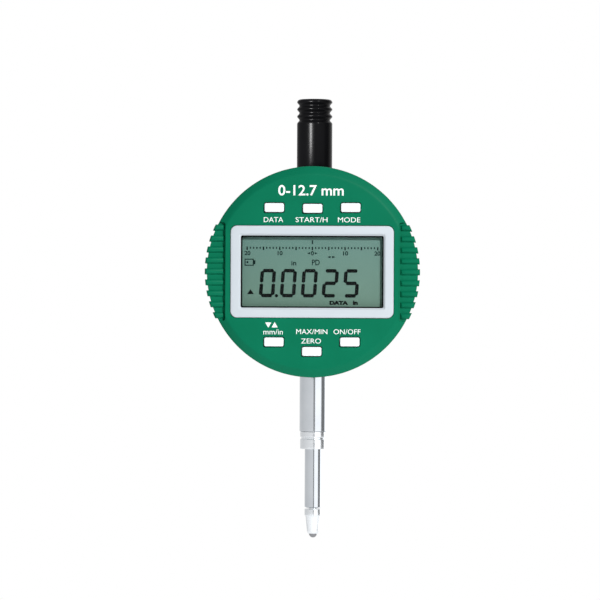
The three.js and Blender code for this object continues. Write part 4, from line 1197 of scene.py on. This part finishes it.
# %% Keys
key_low, key_high = cad("button_hold")
FLANGE_Y = key_low.y + 2.9
key = upright_block("key", key_low.y, FLANGE_Y + 0.2, KEY_SIZE / 2, corner=0.5, rim=0.22)
combine(key, block("flange", (-3.5, FLANGE_Y, -2), (3.5, FLANGE_Y + 1, 2), corner=0.3), "UNION")
combine(key, turned("plunger", eased([
    (0.8, FLANGE_Y + 0.8), (1.2, FLANGE_Y + 0.8), (1.2, key_high.y), (0.8, key_high.y)], 0.1),
    sides=48, along="Y"), "UNION")
for node in KEY_NODES:
    name = node.replace("button_", "")
    piece = copied(key, (key_centre(node).x, 0, key_centre(node).z))
    piece.name = f"{name}_key_cap"
    finished(piece, f"{name}_key", key_abs, [node])
bpy.data.objects.remove(key, do_unlink=True)

# %% [markdown]
# ## Legends on the face
#
# The names of the keys are printed in white. Screen printing lays down a layer of ink thick
# enough to see at the edge, so the lettering is a thin mesh on the face. The measuring range
# stands above the keys.

# %% Printed legends
PRINT_Y = FACE_Y - 0.005
LEGENDS = (
    ("DATA", (-10.95, 14.7), 1.4, 5.5), ("START/H", (-0.2, 14.7), 1.4, 9.0),
    ("MODE", (10.4, 14.7), 1.4, 6.3), ("mm/in", (-10.95, -17.0), 1.5, 5.5),
    ("MAX/MIN", (0, -16.9), 1.4, 8.8), ("ON/OFF", (9.95, -16.9), 1.4, 7.6),
    ("ZERO", (-0.2, -19.55), 1.4, 5.6),
)
legends = [lettering(words, centre, height, width, y=PRINT_Y) for words, centre, height, width in LEGENDS]
legends.append(lettering("0-12.7 mm", (-0.4, 23.0), 3.0, 18.5, weight=0.06, y=PRINT_Y))
for x, z, turn in ((-12.3, -14.85, math.pi), (-10.5, -15.25, 0)):
    triangle = thicken(polygon("triangle", 3, 1.0, turn))
    legends.append(moved(triangle, (x, PRINT_Y - FILM_Y - 0.035, z)))
finished(joined(legends, "face_legends"), "housing", legend_paint)

# %% [markdown]
# ## Stem, nose and guide tube
#
# The stem is the smooth ground tube by which the indicator is clamped. At its lower end a
# turned nose bush closes it, with a narrow groove for a finger ring. The guide tube at the
# top is mostly hidden by the cap and shows when the spindle rises.

# %% Stem, nose bush and guide tube
nose_low, nose_high = cad("stem_bush")
STEM_RADIUS = stem_high.x
BORE = 3.2
stem = turned("clamp_stem", eased([
    (BORE, -30), (BORE, stem_low.z), (STEM_RADIUS, stem_low.z), (STEM_RADIUS, stem_high.z),
    (BORE, stem_high.z)],
    0.12), through=True)
finished(stem, "housing", ground_steel, ["stem"])

NOSE_BORE = 2.52
NOSE_RADIUS = 3.8
NOSE_GROOVE = 3.5
nose = turned("nose_bush", eased([
    (NOSE_BORE, -48), (NOSE_BORE, nose_low.z), (NOSE_RADIUS, nose_low.z), (NOSE_RADIUS, -48),
    (NOSE_GROOVE, -47.95), (NOSE_GROOVE, -47.45), (NOSE_RADIUS, -47.4),
    (NOSE_RADIUS, stem_low.z - 0.1), (3.12, stem_low.z - 0.1), (3.12, nose_high.z),
    (NOSE_BORE, nose_high.z)],
    0.14), through=True)
finished(nose, "housing", turned_steel, ["stem_bush"])

guide_tube = turned("guide_tube", eased([
    (BORE, 30), (BORE, tube_low.z), (STEM_RADIUS, tube_low.z), (STEM_RADIUS, tube_high.z),
    (BORE, tube_high.z)],
    0.3), through=True)
finished(guide_tube, "housing", ground_steel, ["upper_guide_tube"])

# %% [markdown]
# ## Spindle, contact point and ball
#
# The spindle runs the whole height of the instrument. The contact point screws into its
# lower end, and its cone ends in a socket that holds a carbide ball.

# %% Spindle
rod_low, rod_high = cad("spindle")
point_low, point_high = cad("contact_point")
ball_low, ball_high = cad("contact_ball")
ROD = rod_high.x
rod = turned("measuring_rod", [
    (0.6, point_high.z + 0.1), (1.3, point_high.z + 0.1), (1.3, rod_low.z), (ROD - 0.2, rod_low.z),
    (ROD, rod_low.z + 0.2), (ROD, 46.3), (ROD - 0.2, 46.5), (1.4, 46.5), (1.4, rod_high.z - 0.2),
    (1.2, rod_high.z)])
finished(rod, "measuring_spindle", ground_steel, ["spindle"])

# %% Contact point and ball
SOCKET = (ball_high.x - ball_low.x) / 2 + 0.1
ball_z = (ball_low.z + ball_high.z) / 2


def arc(radius, degrees):
    """Points of a circle about the ball's centre, as (radius, height), from angles off straight up."""
    turns = [math.radians(value) for value in degrees]
    return [(radius * math.sin(turn), ball_z + radius * math.cos(turn)) for turn in turns]


socket_arc = arc(SOCKET, range(84, 0, -12))
cone = turned("contact_tip", [
    (1.0, point_high.z), (1.2, point_high.z - 0.2), (1.2, -68.1), *eased([
        (1.6, -68.1), (ROD, -68.1), (ROD, -70), (2.15, -70.05), (1.75, -74.4), (1.5, point_low.z),
        (1.3, point_low.z)],
        0.15), *socket_arc])
finished(cone, "measuring_spindle", turned_steel, ["contact_point"])
ball_arc = arc(SOCKET - 0.1, range(6, 175, 6))
finished(turned("tip_ball", ball_arc, sides=64), "measuring_spindle", carbide, ["contact_ball"])

# %% [markdown]
# ## Lifting cap
#
# The black cap is what fingers pull. Three round grooves near its top give them a hold. The
# profile is computed as a cosine wave, so that the crests are as round as the grooves.

# %% Lifting cap
CAP_RADIUS = cap_high.x
GROOVES = 3
GROOVE_PITCH = 2.06
GROOVE_DEPTH = 0.65
GROOVE_MIDDLE = cap_high.z - 3.88
STEPS = 12
groove_start = GROOVE_MIDDLE - GROOVES * GROOVE_PITCH / 2
grooves = []
for step in range(GROOVES * STEPS + 1):
    depth = GROOVE_DEPTH * (1 - math.cos(2 * math.pi * step / STEPS)) / 2
    grooves.append((CAP_RADIUS - depth, groove_start + GROOVE_PITCH * step / STEPS))
cap = turned("pull_cap", [
    (0.8, 48.8), (1.5, 48.8), (1.5, 46.7), (2.55, 46.7), (2.55, 43.1), (4.2, 43.1), (4.2, cap_low.z + 0.2),
    (4.4, cap_low.z), (CAP_RADIUS - 0.25, cap_low.z), (CAP_RADIUS - 0.07, cap_low.z + 0.07),
    (CAP_RADIUS, cap_low.z + 0.25), (CAP_RADIUS, groove_start - 0.2), *grooves,
    (CAP_RADIUS - 0.06, cap_high.z - 0.56), (CAP_RADIUS - 0.22, cap_high.z - 0.3),
    (CAP_RADIUS - 0.46, cap_high.z - 0.09), (CAP_RADIUS - 0.8, cap_high.z)])
finished(cap, "measuring_spindle", black_gloss, ["lifting_cap"])
strip_only = bpy.data.collections.new("lit_by_strip")
strip_only.objects.link(cap)
strip_light.light_linking.receiver_collection = strip_only
